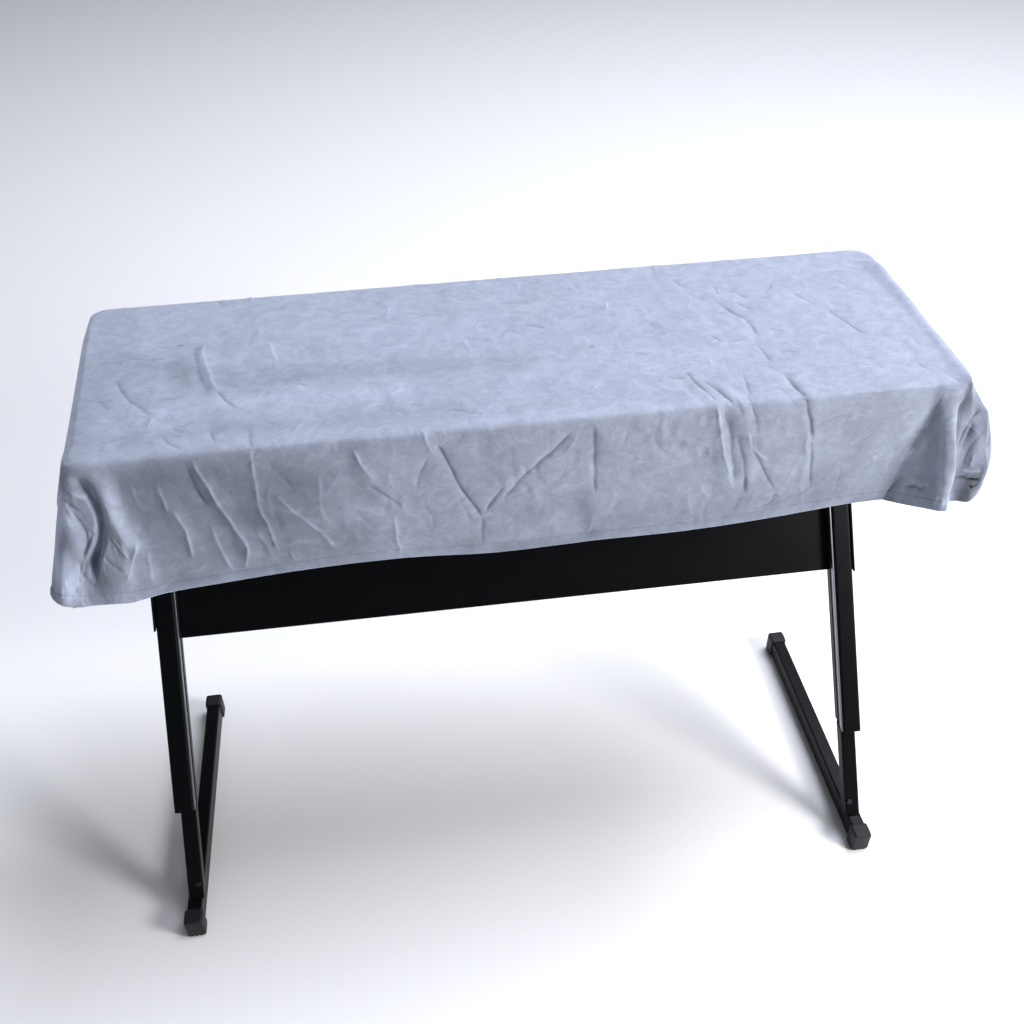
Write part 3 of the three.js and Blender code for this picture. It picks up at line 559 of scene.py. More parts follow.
def easeJoints(points, rings, middle):
    # Where a corner's fan meets a straight skirt the rows bend sharply. Across each joint the points move
    # again and again halfway to the mean of their neighbours, by a share that falls off as a Gaussian.
    reach = cover["jointReach"]
    share = np.exp(-((np.arange(1 - reach, reach) * cover["jointFocus"] / reach) ** 2))
    down = ease((rings - cover["flatRows"] - cover["bendRows"] - np.arange(rings)) / cover["jointLead"])
    pull = 0.5 * share[:, None, None] * down[None, :, None]
    for joint, passes in zip((rings, rings + middle), cover["jointPasses"]):
        for skirt in (slice(0, rings), slice(None, -rings - 1, -1)):
            part = points[joint - reach : joint + reach + 1, skirt]
            for _ in range(passes):
                part[1:-1] += ((part[2:] + part[:-2]) / 2 - part[1:-1]) * pull


def clothGrid():
    # The cloth's lattice: a middle block on the top and rings round it. Each skirt line leaves its start
    # point, runs flat, bends round the edge on a quadratic curve and runs straight to the hem, with a belly
    # of 4bt(1-t). A corner's square of the lattice is bent into a fan of skirt lines.
    flatRows, bendRows, bend = cover["flatRows"], cover["bendRows"], cover["bendRadius"]
    steps = np.append(0, skirtSteps())
    rings = flatRows + bendRows + len(steps) - 1
    nx = cellCount(rightEdge - frontLeftEdge, rings)
    ny = cellCount(backEdge - frontEdge, rings)
    i, j = np.meshgrid(np.arange(nx + 2 * rings + 1), np.arange(ny + 2 * rings + 1), indexing="ij")
    side = np.maximum(np.maximum(rings - i, i - rings - nx), 0)
    end = np.maximum(np.maximum(rings - j, j - rings - ny), 0)
    ring = np.maximum(side, end)
    across, back = (i - rings) / nx, (j - rings) / ny
    isRight, isBack = i > rings, j > rings
    turn = np.where(side >= end, end / np.maximum(side, 1) / 2, 1 - side / np.maximum(end, 1) / 2)
    corner = np.where(isRight, np.where(isBack, 3 + turn, 2 - turn), np.where(isBack, 6 - turn, 7 + turn))
    long, short = np.where(isBack, 5 - across, across), np.where(isRight, 2 + back, 7 - back)
    place = np.where(side == 0, long, np.where(end == 0, short, corner)) % 8
    start, way, stretch = skirtStart(place)
    power = np.array(cover["cornerSquareness"])[stretch // 2]
    wayX, wayY = np.abs(way[..., 0]), np.abs(way[..., 1])
    reach = cover["cornerInset"] / (wayX**power + wayY**power) ** (1 / power)
    edge = start + way * reach[..., None]
    hem = edge + np.concatenate([hemShift(place), -hemValue(3, place)[..., None]], -1)
    fall = np.linalg.norm(hem - edge, axis=-1)
    bendStart = edge - way * bend
    bendEnd = edge + (hem - edge) * (bend / fall)[..., None]
    onFlat = np.clip(ring / flatRows, 0, 1)[..., None]
    onBend = np.clip((ring - flatRows) / bendRows, 0, 1)[..., None]
    onSkirt = steps[np.clip(ring - flatRows - bendRows, 0, len(steps) - 1)][..., None]
    belly = hemValue(4, place)[..., None] * 4 * onSkirt * (1 - onSkirt)
    flatPart = start + (bendStart - start) * onFlat
    bendPart = bendStart * (1 - onBend) ** 2 + edge * 2 * onBend * (1 - onBend) + bendEnd * onBend**2
    skirtPart = bendEnd + (hem - bendEnd) * onSkirt + way * belly
    points = np.where((ring <= flatRows)[..., None], flatPart, bendPart)
    points = np.where((ring <= flatRows + bendRows)[..., None], points, skirtPart)
    points = np.where((ring == 0)[..., None], topPoint(across, back), points)
    easeJoints(points, rings, nx)
    easeJoints(points.transpose(1, 0, 2), rings, ny)
    onFlat, onBend, onSkirt = onFlat[..., 0], onBend[..., 0], onSkirt[..., 0]
    run = (reach - bend) * onFlat + bend * np.pi / 2 * onBend + (fall - bend) * onSkirt
    flat = np.where((ring == 0)[..., None], points[..., :2], start[..., :2] + way[..., :2] * run[..., None])
    toHem = np.where(ring > flatRows + bendRows, (fall - bend) * (1 - onSkirt), fall)
    return points, flat, place, toHem, ring


def gridNormals(points):  # the cross product of the lattice's two directions, at unit length
    normal = np.cross(np.gradient(points, axis=0), np.gradient(points, axis=1))
    return normal / (np.linalg.norm(normal, axis=-1, keepdims=True) + 1e-12)


def smoothRoute(route):  # a route's points, joined by Catmull-Rom curves with six steps each
    p = np.reshape(route, (-1, 2)).astype(float)
    p = np.vstack([2 * p[0] - p[1], p, 2 * p[-1] - p[-2]])
    t = np.linspace(0, 1, 7)[:-1, None]
    spans = [
        0.5 * (2 * b + (c - a) * t + (2 * a - 5 * b + 4 * c - d) * t**2 + (3 * b - a - 3 * c + d) * t**3)
        for a, b, c, d in zip(p[:-3], p[1:-2], p[2:-1], p[3:])
    ]
    return np.vstack(spans + [p[-2:-1]])


def alongRoute(flat, route):
    # distance from a smoothed route, and the distance run along it, at each point; and the route's length
    best = np.full(len(flat), np.inf)
    run = np.zeros(len(flat))
    done = 0.0
    for a, b in zip(route[:-1], route[1:]):
        step = b - a
        length = np.linalg.norm(step) + 1e-9
        t = np.clip((flat - a) @ step / length**2, 0, 1)
        distance = np.linalg.norm(flat - a - t[:, None] * step, axis=-1)
        nearer = distance < best
        best = np.where(nearer, distance, best)
        run = np.where(nearer, done + t * length, run)
        done += length
    return best, run, done


def bell(distance, halfWidth):  # (1 - d^2/w^2)^2 inside the half width, nil outside
    return np.clip(1 - (distance / halfWidth) ** 2, 0, 1) ** 2


def tapered(run, length, taper):  # 1 along a route, eased to nil over the taper at both ends
    return ease(run / taper) * ease((length - run) / taper)


def foldShift(flat):  # the broad folds: bells across their routes, with tapered ends
    shift = np.zeros(len(flat))
    for height, halfWidth, *route in folds:
        distance, run, length = alongRoute(flat, smoothRoute(route))
        shift += height * bell(distance, halfWidth) * tapered(run, length, min(1.8 * halfWidth, 0.4 * length))
    return shift


def napAndPaintedShade(flat):  # 1, plus a bell across the route of each listed place: painted light and shade, and some turned nap
    shade = np.ones(len(flat))
    for amount, halfWidth, *route in napAndPaintedLight:
        shade += amount * bell(alongRoute(flat, smoothRoute(route))[0], halfWidth)
    return shade


def scatterCreases():
    # Small creases strewn over the cloth: where it hangs most of them run towards the hem, and on the top
    # most run along it. Length, turn, bend and height are drawn evenly between their limits.
    draw = np.random.default_rng(strayCreases["seed"])
    halfTop, topFront, topBack = strayCreases["topPatch"]
    rows = []
    for _ in range(strayCreases["count"]):
        middle = draw.uniform(*strayCreases["within"])
        onTop = topFront < middle[1] < topBack and abs(middle[0]) < halfTop
        upright = draw.random() < strayCreases["uprightOnTop" if onTop else "uprightOnSkirt"]
        turn = draw.uniform(*strayCreases["uprightTurn" if upright else "levelTurn"])
        half = draw.uniform(*strayCreases["lengths"]) / 2 * np.array([np.cos(turn), np.sin(turn)])
        off = draw.uniform(-1, 1) * strayCreases["bend"] * 2 * np.array([-half[1], half[0]])
        height = draw.uniform(*strayCreases["heights"]) * draw.choice([-1, 1])
        rows.append((height, strayCreases["halfWidth"], *(middle - half), *(middle + off), *(middle + half)))
    return rows


def creaseShift(flat):
    # each crease: a sharp ridge or trough across its route, exp(-q^1.2), on a low Gaussian tent,
    # with tapered ends and an uneven height; and a painted highlight along a ridge, painted shade along a
    # trough
    shape = creaseShape
    wander, wanderCell = shape["wander"]
    unevenness, unevenCell = shape["unevenness"]
    x, y = flat[:, 0], flat[:, 1]
    strayed = flat + wander * np.stack([softNoise(x, y, wanderCell, seed) for seed in (11, 12)], -1)
    shift, shade = np.zeros(len(flat)), np.zeros(len(flat))
    for k, (height, halfWidth, *route) in enumerate(creases + scatterCreases()):
        path = smoothRoute(route)
        margin = halfWidth * shape["reach"]
        near = np.all((flat > path.min(0) - margin) & (flat < path.max(0) + margin), axis=-1)
        distance, run, length = alongRoute(strayed[near], path)
        ends = tapered(run, length, min(shape["taper"], length * 0.35))
        uneven = 1 + unevenness * softNoise(run, 0 * run + k * 7.3, unevenCell, 13)
        q = distance / (halfWidth * shape["crestWidth"])
        tent = np.exp(-((q / shape["tentWidth"]) ** 2))
        body = shape["crest"] * np.exp(-(q ** shape["crestPower"])) + (1 - shape["crest"]) * tent
        shift[near] += shape["scale"] * height * ends * uneven * body
        # high creases are painted fully paler or darker, low and wide ones less
        strength = np.sign(height) * min(abs(height) / 2.5, 1) ** 0.7 * min(4 / halfWidth, 1) ** 3
        shade[near] += shape["shade"] * strength * ends * uneven * np.exp(-(q**2))
    return shift, np.clip(shade, *shape["shadeLimits"])


def looseShift(flat, hang):
    # slack in the cloth: wide swells and small puckers, larger where it hangs
    x, y = flat[:, 0], flat[:, 1]
    wide = softNoise(x * 0.6, y, *slack["wide"]) + 0.5 * softNoise(x, y, *slack["middling"])
    swayed = x + slack["swayBy"] * softNoise(x, y, *slack["sway"])
    pucker = 1 - 2 * np.abs(softNoise(swayed, y, *slack["pucker"]))
    pucker = pucker * softNoise(x, y, *slack["puckerPatches"])
    (wideBase, wideMore), (puckerBase, puckerMore) = slack["wideHeight"], slack["puckerHeight"]
    return wide * (wideBase + wideMore * hang) + pucker * (puckerBase + puckerMore * hang)


def caseDistance(points):  # distance outside the case's box
    out = np.maximum(np.maximum(caseLow - points, points - caseHigh), 0)
    return np.linalg.norm(out, axis=-1)


def leastAround(grid, reach):  # the least value within so many rows
    padded = np.pad(grid, ((reach, reach), (0, 0)), mode="edge")
    return np.minimum.reduce([padded[k : k + len(grid)] for k in range(2 * reach + 1)])


def settleFlips(mesh):
    # Thinning turns a few slivers over. Where a face looks away from its corners' normals, their points move
    # to the mean of their neighbours, several times.
    count = len(mesh.vertices)
    places, upright = np.empty(count * 3), np.empty(count * 3)
    facing = np.empty(len(mesh.polygons) * 3)
    sides = np.empty(len(mesh.polygons), int)
    corner = np.empty(len(mesh.loops), int)
    ends = np.empty(len(mesh.edges) * 2, int)
    mesh.vertices.foreach_get("co", places)
    mesh.polygons.foreach_get("loop_total", sides)
    mesh.loops.foreach_get("vertex_index", corner)
    mesh.edges.foreach_get("vertices", ends)
    places = places.reshape(-1, 3)
    ends = np.concatenate([ends.reshape(-1, 2), ends.reshape(-1, 2)[:, ::-1]])
    degree = np.bincount(ends[:, 0], minlength=count)[:, None]
    owner = np.repeat(np.arange(len(sides)), sides)
    for _ in range(cover["settlePasses"]):
        mesh.polygons.foreach_get("normal", facing)
        mesh.vertices.foreach_get("normal", upright)
        agree = np.einsum("ij,ij->i", facing.reshape(-1, 3)[owner], upright.reshape(-1, 3)[corner])
        turned = np.zeros(len(sides), bool)
        turned[owner[agree < cover["leastAgreement"]]] = True
        loose = np.unique(corner[turned[owner]])
        sums = np.stack([np.bincount(ends[:, 0], places[ends[:, 1], k], count) for k in range(3)], -1)
        places[loose] = (sums / degree)[loose]
        mesh.vertices.foreach_set("co", places.ravel())
        mesh.update()
    print("turned faces left:", turned.sum())


def clothSurfaces(points, flat, toHem, ring):
    # The outer face stands off the lattice, along its normals, by folds, creases, slack, hem and rim, and
    # clears the case. The inner face has some of the rows and columns, a thickness below the lowest outer
    # point round each.
    flatList = flat.reshape(-1, 2)
    normals = gridNormals(points)
    hang = ease((ring - cover["flatRows"]) / cover["bendRows"])
    shift = foldShift(flatList).reshape(ring.shape)
    creased, creaseShade = creaseShift(flatList)
    fine = (creased + looseShift(flatList, hang.ravel())).reshape(ring.shape)
    stiffness, stiffBelow = hemShape["stiffness"]
    fine *= 1 - stiffness * ease(1 - toHem / stiffBelow)
    shift += fine + cover["lift"] * (1 - hang)
    least = cover["thickness"] + touchingGap - caseDistance(points)
    shift = np.where(toHem > hemShape["width"] * 3, np.maximum(shift, least), shift)
    (grooveDepth, grooveWidth), (rimDepth, rimHeight) = hemShape["groove"], hemShape["rim"]
    groove = grooveDepth * np.exp(-(((toHem - hemShape["width"]) / grooveWidth) ** 2))
    swell = hemShape["swell"] * ease((hemShape["width"] - toHem) / 2)
    rim = rimDepth * np.exp(-((toHem / rimHeight) ** 2))
    outer = points + normals * (shift - groove + swell - rim)[..., None]
    stride = cover["innerStride"]
    lowest = leastAround(leastAround(shift, stride).T, stride).T
    depth = cover["thickness"] + (swell - rim) * 0.8
    inner = (points + normals * (np.maximum(lowest, least) - depth)[..., None])[::stride, ::stride]
    return outer, inner, creaseShade


def rimIds(ids):  # a lattice's outermost points, in turn
    return np.concatenate([ids[:-1, 0], ids[-1, :-1], ids[:0:-1, -1], ids[0, :0:-1]])


def clothFaces(outerShape, innerShape):  # the two lattices' squares, and the faces that join their rims
    outer = np.arange(np.prod(outerShape)).reshape(outerShape)
    inner = np.arange(np.prod(innerShape)).reshape(innerShape) + outer.size
    outerFaces = np.stack([outer[:-1, :-1], outer[1:, :-1], outer[1:, 1:], outer[:-1, 1:]], -1).reshape(-1, 4)
    innerFaces = np.stack([inner[:-1, :-1], inner[:-1, 1:], inner[1:, 1:], inner[1:, :-1]], -1).reshape(-1, 4)
    stride, outerRim, innerRim = cover["innerStride"], rimIds(outer), rimIds(inner)
    k = np.arange(len(innerRim)) * stride
    ahead = [outerRim[(k + stride - n) % len(outerRim)] for n in range(stride + 1)]
    return [outerFaces, innerFaces, np.stack([innerRim, np.roll(innerRim, -1)] + ahead, -1)]


def hemLength(samples):  # millimetres run along the hem at each sampled place, with a share of its waves
    start, way, _ = skirtStart(samples % 8)
    line = start[:, :2] + cover["skirtLength"] * way[:, :2] + hemShift(samples % 8) * 0.3
    return np.append(0, np.cumsum(np.linalg.norm(np.diff(line, axis=0), axis=-1)))


def storeVectors(piece, name, vectors):  # a vector at each point, which the material reads
    attribute = piece.data.attributes.new(name, "FLOAT_VECTOR", "POINT")
    attribute.data.foreach_set("vector", vectors.ravel().astype(np.float32))


def buildCover():
    # one closed surface, with what its material reads stored at each point, thinned to a share of its faces
    points, flat, place, toHem, ring = clothGrid()
    outer, inner, creaseShade = clothSurfaces(points, flat, toHem, ring)
    faceLists = clothFaces(outer.shape[:2], inner.shape[:2])
    allPoints = np.vstack([outer.reshape(-1, 3), inner.reshape(-1, 3)])
    piece = makeMesh("dust_cover", allPoints, faceLists, "cover", *clothFinish)
    flatList = flat.reshape(-1, 2)
    stride = cover["innerStride"]
    innerFlat = flat[::stride, ::stride].reshape(-1, 2) + 700  # mm aside, so that the inner nap differs
    # painted light and shade at each point, from the listed places and the creases; none on the inner face
    shade = np.append(napAndPaintedShade(flatList) + creaseShade, np.ones(len(innerFlat))) - 1
    storeVectors(piece, "flatCloth", np.column_stack([np.vstack([flatList, innerFlat]) * 0.001, shade]))
    samples = np.linspace(0, 8, 1601)  # places, 200 to each stretch of the hem
    placeAll, upAll = (np.append(a.ravel(), a[::stride, ::stride].ravel()) for a in (place, toHem))
    hemRun = np.interp(placeAll, samples, hemLength(samples))
    storeVectors(piece, "hemPlace", np.stack([hemRun, upAll, 0 * upAll], -1) * 0.001)
    thin = piece.modifiers.new("thin", "DECIMATE")
    thin.ratio = cover["triangles"] / sum(share * len(faces) for share, faces in zip((2, 2, 5), faceLists))
    applyModifiers(piece)
    settleFlips(piece.data)
    print("cover: faces", len(piece.data.polygons))


buildCover()
print("cover built")

# The stand's pieces are lofts: rounded rectangles, one for each station of a path.


def roundedLoops(halfU, halfV, radius, between=0):
    # Rounded rectangles, one for each station: quarter circles joined by straights. One more point stands
    # close to each end of a straight, to keep its shading flat, and others between them where asked for.
    halfU, halfV, radius = (np.broadcast_to(a, np.shape(halfU))[:, None] for a in (halfU, halfV, radius))
    turn = np.linspace(0, np.pi / 2, 5)
    lead = (np.arange(between) + 0.5) / max(between, 1)
    nearU, nearV = halfU - 1.6 * radius, halfV - 1.6 * radius
    u = np.hstack([halfU + 0 * lead, halfU, halfU - radius * (1 - np.cos(turn)), nearU, nearU * lead[::-1]])
    v = np.hstack([nearV * lead, nearV, halfV - radius * (1 - np.sin(turn)), halfV, halfV + 0 * lead])
    u, v = np.hstack([u, -u[:, ::-1], -u, u[:, ::-1]]), np.hstack([v, v[:, ::-1], -v, -v[:, ::-1]])
    return u, v


def easedRun(start, end, easing):
    # stations from start to end, and how far each section is drawn in there: a quarter circle at both ends
    turn = np.linspace(0, np.pi / 2, 4)
    step = np.append(easing * (1 - np.cos(turn)), 1.8 * easing)
    inset = np.append(easing * (1 - np.sin(turn)), 0)
    return np.concatenate([start + step, end - step[::-1]]), np.concatenate([inset, inset[::-1]])


def tubeFaces(shape):  # faces of a grid that closes round its second direction, with flat ends
    ids = np.arange(np.prod(shape)).reshape(shape)
    ahead = np.roll(ids, -1, axis=1)
    sides = np.stack([ids[:-1], ahead[:-1], ahead[1:], ids[1:]], -1).reshape(-1, 4)
    return [sides, np.stack([ids[0, ::-1], ids[-1]])]


def loft(name, cadNode, origins, u, v, axisU, axisV, finish):
    # sections u, v laid on two axes at each origin of a path, joined by faces and closed with flat ends
    axisU, axisV = (np.broadcast_to(a, origins.shape)[:, None] for a in (axisU, axisV))
    points = origins[:, None] + u[..., None] * axisU + v[..., None] * axisV
    makeMesh(name, points.reshape(-1, 3), tubeFaces(u.shape), cadNode, *finish)


legLine = {
    "slope": 0.667,  # how far a leg runs back for each millimetre that it rises
    "lean": {"left": 0.033, "right": 0.0},  # how far it leans inwards for each millimetre that it rises
    "leanFrom": 33,
}


def leaningBar(name, cadNode, middle, lean, sizes, bottom, top, finish):
    # Level sections up a bar that slopes back and leans. A cut slants its lower end, which rises backwards.
    z, inset = easedRun(bottom, top, sizes["endEasing"])
    cut = np.where(np.arange(len(z)) < len(z) // 2, sizes.get("cut", 0.0), 0.0)
    z = z + cut * sizes["depth"] / 2
    u, v = roundedLoops(sizes["width"] / 2 - inset, sizes["depth"] / 2 - inset, sizes["radius"])
    x = middle + lean * (z - legLine["leanFrom"])
    y = sizes["front"] + sizes["depth"] / 2 + legLine["slope"] * z
    along = np.array([lean, legLine["slope"], 1.0])
    axisV = np.array([0.0, 1.0, 0.0]) + cut[:, None] * along
    loft(name, cadNode, np.stack([x, y, z], -1), u, v, (1, 0, 0), axisV, finish)


footTube = {
    "spacing": 950, "length": 408.5, "width": 20, "bottom": 3, "top": 33, "radius": 2.4, "endEasing": 0.6
}
footCap = {
    "width": 25,
    "length": 22,
    "height": 36,
    "radius": 3.2,
    "endEasing": 2.2,
    "bulge": 0.5,  # the sides swell by this much half-way along
    "ribPitch": 6.2,
    "ribDepth": 1.9,
    "ribPoints": 12,  # along each straight of a section
}


def buildFoot(side, sideName):  # the tube on the floor and its two moulded caps; sections in Z and X, along Y
    middle = side * footTube["spacing"] / 2
    capLength, bulge = footCap["length"], footCap["bulge"]
    start, end = capLength + touchingGap, footTube["length"] - capLength - touchingGap
    y, inset = easedRun(start, end, footTube["endEasing"])
    halfHeight = (footTube["top"] - footTube["bottom"]) / 2
    u, v = roundedLoops(halfHeight - inset, footTube["width"] / 2 - inset, footTube["radius"])
    origins = np.stack([0 * y + middle, y, 0 * y + footTube["bottom"] + halfHeight], -1)
    loft(f"tube_of_{sideName}_foot", f"foot_tube_{sideName}", origins, u, v, (0, 0, 1), (1, 0, 0), paint)
    for end, start in (("front", 0.0), ("rear", footTube["length"] - capLength)):
        y, inset = easedRun(0, capLength, footCap["endEasing"])
        half = len(y) // 2
        y = np.insert(y, half, np.linspace(y[half - 1], y[half], 5)[1:-1])
        inset = np.insert(inset, half, np.zeros(3))
        swell = bulge * (4 * y * (capLength - y) / capLength**2 - 0.5)
        halfHeight, halfWidth = footCap["height"] / 2, footCap["width"] / 2
        u, v = roundedLoops(
            halfHeight - inset - bulge / 2, halfWidth - inset + swell, footCap["radius"], footCap["ribPoints"]
        )
        # ribs under the cap: grooves along Y, of a raised cosine across X
        ribs = footCap["ribDepth"] * (0.5 - 0.5 * np.cos(2 * np.pi * v / footCap["ribPitch"]))
        u = np.where(u < footCap["radius"] - halfHeight, u + ribs, u)
        origins = np.stack([0 * y + middle, start + y, 0 * y + halfHeight - bulge / 2], -1)
        name, cadNode = f"{end}_cap_of_{sideName}_foot", f"foot_cap_{end}_{sideName}"
        loft(name, cadNode, origins, u, v, (0, 0, 1), (1, 0, 0), capPlastic)


legTube = {"inner": 462, "width": 21, "front": 14, "depth": 21.6, "radius": 2.4, "endEasing": 0.6}
legSleeve = {
    "inner": 465, "width": 25.5, "front": 10, "depth": 30, "bottom": 141, "radius": 2.6, "endEasing": 0.7
}
sleeveStrip = {
    "width": 2.4, "front": 13, "depth": 15, "top": 560, "radius": 0.5, "endEasing": 0.3, "cut": 0.45
}
sleeveLip = {
    "inner": 461.2, "width": 3.4, "front": 22.6, "depth": 14, "above": 4, "radius": 0.8, "endEasing": 0.4
}
upperBracket = {
    "width": 3,
    "front": 8,
    "depth": 36,
    "bottom": {"left": 354, "right": 338},
    "radius": 0.9,
    "endEasing": 0.6,
}


def buildLeg(side, sideName):  # the inner tube, its sleeve, the bright strip, its dark lip and the plate
    lean = -side * legLine["lean"][sideName]
    sleeveTop = boxOf(f"leg_sleeve_{sideName}")[1][2]
    low, stripTop, plateLow = legSleeve["bottom"], sleeveStrip["top"], upperBracket["bottom"][sideName]
    tubeLow = footTube["top"] + touchingGap
    stripInner = legSleeve["inner"] - touchingGap - sleeveStrip["width"]
    plateInner = legSleeve["inner"] + legSleeve["width"] + touchingGap
    bars = [
        # word, CAD node, inner side, sizes, bottom, top, finish
        ("tube", "leg_tube", legTube["inner"], legTube, tubeLow, low - touchingGap, paint),
        ("sleeve", "leg_sleeve", legSleeve["inner"], legSleeve, low, sleeveTop, paint),
        ("strip", "sleeve_strip", stripInner, sleeveStrip, low, stripTop, zincPlate),
        ("lip", "leg_sleeve", sleeveLip["inner"], sleeveLip, low + sleeveLip["above"], stripTop, paint),
        ("plate", "upper_bracket", plateInner, upperBracket, plateLow, sleeveTop, paint),
    ]
    for word, node, inner, sizes, bottom, top, finish in bars:
        name, middle = f"{word}_of_{sideName}_leg", side * (inner + sizes["width"] / 2)
        leaningBar(name, f"{node}_{sideName}", middle, lean, sizes, bottom, top, finish)


legScrew = {
    "radius": 4, "height": 2.4, "dome": 0.9, "level": 52, "inset": 5, "slotDepth": 0.7, "slot": (2.4, 0.8)
}


def buildScrew(side, sideName):
    # a pan head: rings whose height falls off as a circle's, with a cross recess pressed into the top
    climb = np.linspace(np.pi / 2, 0.03, 14)
    ring = legScrew["radius"] * np.append([1.0, 1.0], np.sin(climb))
    rise = legScrew["height"] - legScrew["dome"] * (1 - np.cos(climb))
    rise = np.append([0.0, rise[0]], rise)
    turn = np.linspace(0, 2 * np.pi, 48, endpoint=False)
    u, v = ring[:, None] * np.cos(turn), ring[:, None] * np.sin(turn)
    slotLength, slotWidth = legScrew["slot"]
    recess = np.maximum(bell(u, slotWidth) * bell(v, slotLength), bell(v, slotWidth) * bell(u, slotLength))
    height = rise[:, None] - legScrew["slotDepth"] * recess
    slope = np.arctan(legLine["slope"])
    out = np.array([0, -np.cos(slope), np.sin(slope)])
    x = side * (legTube["inner"] + legTube["width"] / 2 - legScrew["inset"])
    y = legTube["front"] + legLine["slope"] * legScrew["level"]
    foot = np.array([x, y, legScrew["level"]]) + touchingGap * out
    across = np.array([1.0, 0, 0])
    points = foot + u[..., None] * across + v[..., None] * np.cross(out, across) + height[..., None] * out
    name, cadNode = f"screw_of_{sideName}_leg", f"leg_screw_{sideName}"
    makeMesh(name, points.reshape(-1, 3), tubeFaces(u.shape), cadNode, *screwFinish)


modestyBoard = {"front": 30, "thickness": 12, "bottom": 330, "top": 520, "radius": 1.6, "endEasing": 0.5}


def buildBoard():  # sections in Y and Z along X, which slope back and at the left end lean as well
    half = legSleeve["inner"] - touchingGap
    x, inset = easedRun(-half, half, modestyBoard["endEasing"])
    halfHeight = (modestyBoard["top"] - modestyBoard["bottom"]) / 2
    level = modestyBoard["bottom"] + halfHeight
    u, v = roundedLoops(modestyBoard["thickness"] / 2 - inset, halfHeight - inset, modestyBoard["radius"])
    share = (x + half) / (2 * half)
    lean = legLine["lean"]["left"] * (1 - share) - legLine["lean"]["right"] * share
    y = modestyBoard["front"] + modestyBoard["thickness"] / 2 + legLine["slope"] * level
    origins = np.stack([x + lean * (level - legLine["leanFrom"]), 0 * x + y, 0 * x + level], -1)
    axisV = np.stack([lean, 0 * x + legLine["slope"], 0 * x + 1], -1)
    loft("board", "modesty_board", origins, u, v, (0, 1, 0), axisV, paint)


for side, sideName in ((-1, "left"), (1, "right")):
    buildFoot(side, sideName)
    buildLeg(side, sideName)
    buildScrew(side, sideName)
buildBoard()

# What lies hidden under the cloth keeps its CAD shape, with materials of this scene.
hiddenPieces = {"top_arm_left": paint[0], "top_arm_right": paint[0], "keyboard_case": caseMaterial}
for name, material in hiddenPieces.items():
    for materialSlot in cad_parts[name].material_slots:
        materialSlot.material = material
print("stand finished")

studio = {
    "floorColour": "#F4F4F4",
    "floorReach": 15,  # metres, to each side
    "zenithColour": "#F4F7FF",  # on the bright side
    "horizonColour": "#55585E",  # away from it
    "brightSide": (0.62, -0.12, 0.72),  # where the pale surroundings are brightest
    "worldStrength": 0.33,
    # name, place, aim, size, power, colour
    "lights": [
        ("overheadLight", (1900, 1300, 4600), (300, 200, 600), 3.2, 275, "#F1F4FF"),
        ("rightLight", (1900, -1000, 1450), (250, 100, 600), 0.8, 58, "#FCFAFC"),
    ],
}


def addObject(name, data):  # one object in the scene
    thing = bpy.data.objects.new(name, data)
    bpy.context.scene.collection.objects.link(thing)
    return thing


def buildFloor():  # a plain square under everything
    material, tree = newMaterial("matteBackdropPaper")  # seamless paper: matte, faintly fibrous
    place = addNode(tree, "TexCoord")
    fibre = addNode(tree, "TexNoise", {"Scale": 260.0, "Detail": 3.0}, {"Vector": (place, "Object")})
    bump = addNode(tree, "Bump", {"Strength": 0.05, "Distance": 0.0002}, {"Height": (fibre, 0)})
    settings = {"Base Color": linear(studio["floorColour"]), "Roughness": 0.9}
    finishMaterial(tree, settings, {"Normal": (bump, "Normal")})
    mesh = bpy.data.meshes.new("floor")
    r = studio["floorReach"]
    mesh.from_pydata([(-r, -r, 0), (r, -r, 0), (r, r, 0), (-r, r, 0)], [], [(0, 1, 2, 3)])
    mesh.materials.append(material)
    addObject("floor", mesh)


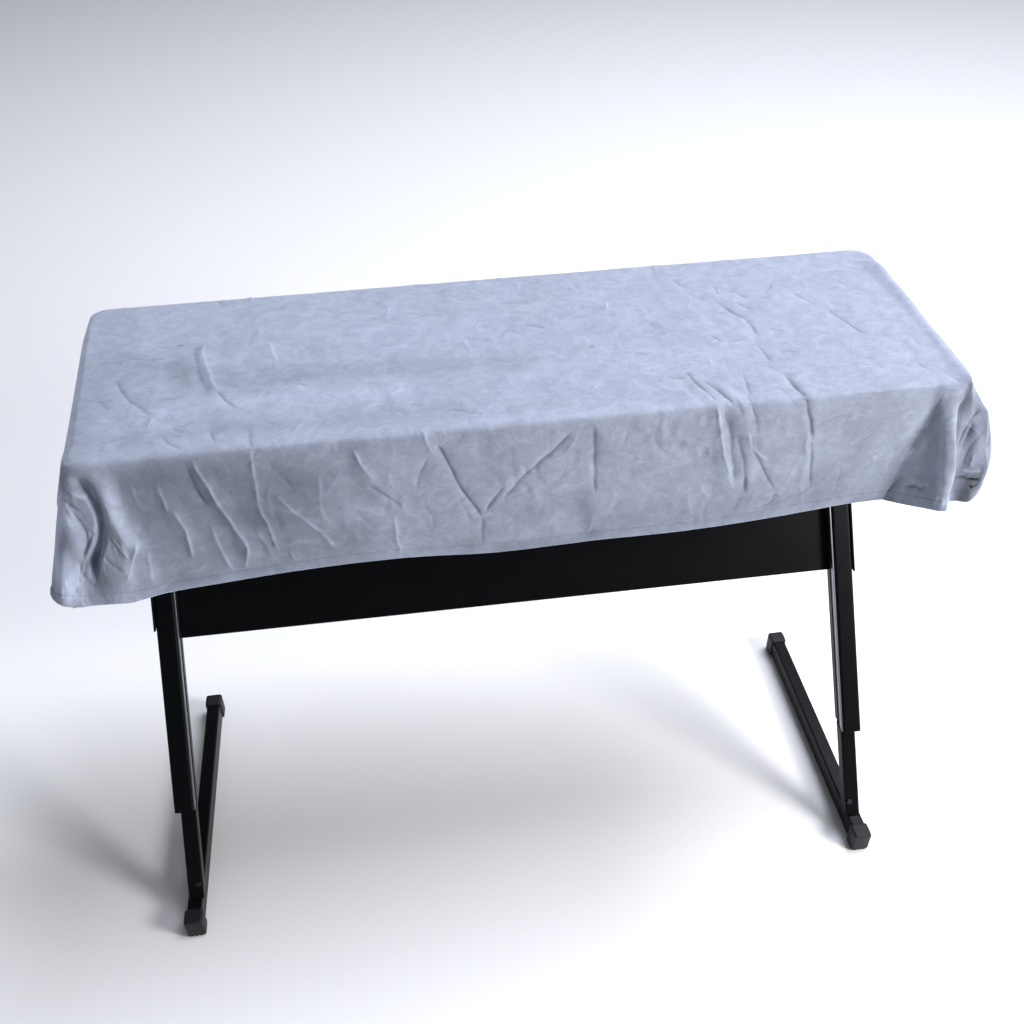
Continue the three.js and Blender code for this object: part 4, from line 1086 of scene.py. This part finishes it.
def addLight(name, place, aim, size, power, colour):  # a round soft light, turned towards its aim
    lamp = bpy.data.lights.new(name, "AREA")
    lamp.shape = "DISK"
    lamp.size = size
    lamp.energy = power
    lamp.color = linear(colour)[:3]
    thing = addObject(name, lamp)
    thing.location = toFrame(place)
    thing.rotation_mode = "QUATERNION"
    thing.rotation_quaternion = Vector(toFrame(aim) - toFrame(place)).to_track_quat("-Z", "Y")


def buildWorld():  # the surroundings that the object reflects
    world = bpy.data.worlds.new("studio")
    bpy.context.scene.world = world
    world.use_nodes = True
    tree = world.node_tree
    tree.nodes.clear()
    # pale, and brightest above and to the right: the colour follows the ray's part along that direction
    place = addNode(tree, "TexCoord")
    facing = {"operation": "DOT_PRODUCT", 1: studio["brightSide"]}
    part = addNode(tree, "VectorMath", facing, {0: (place, "Generated")})
    share = addNode(tree, "MapRange", {"From Min": -0.7, "From Max": 1.0}, {"Value": (part, "Value")})
    colours = {6: linear(studio["horizonColour"]), 7: linear(studio["zenithColour"])}
    sky = addNode(tree, "Mix", {"data_type": "RGBA", **colours}, {0: (share, 0)})
    light = addNode(tree, "Background", {"Strength": studio["worldStrength"]}, {"Color": (sky, 2)})
    addNode(tree, "OutputWorld", {}, {"Surface": (light, "Background")})


eye = {
    "place": (-125.1, -845.6, 1428),
    "turn": -0.1185,  # radians to the left of straight ahead, minus to the right
    "dip": 0.7006,  # radians below the horizon
    "roll": -0.02216,
    "lens": 38.95,
    "sensor": 36,
}


def buildCamera():  # its axes: turned about the upright, then dipped, then rolled about its own line
    turn, dip, roll = eye["turn"], eye["dip"], eye["roll"]
    ahead = Vector((-np.sin(turn) * np.cos(dip), np.cos(turn) * np.cos(dip), -np.sin(dip)))
    level = Vector((np.cos(turn), np.sin(turn), 0))
    upright = level.cross(ahead)
    right = level * np.cos(roll) + upright * np.sin(roll)
    up = upright * np.cos(roll) - level * np.sin(roll)
    data = bpy.data.cameras.new("camera")
    data.lens = eye["lens"]
    data.sensor_width = eye["sensor"]
    camera = addObject("camera", data)
    matrix = Matrix((right, up, -ahead)).transposed().to_4x4()
    matrix.translation = Vector(toFrame(eye["place"]))
    camera.matrix_world = matrix
    bpy.context.scene.camera = camera


buildFloor()
buildWorld()
for row in studio["lights"]:
    addLight(*row)
buildCamera()
bpy.context.scene.view_settings.view_transform = "Standard"
print("studio ready")
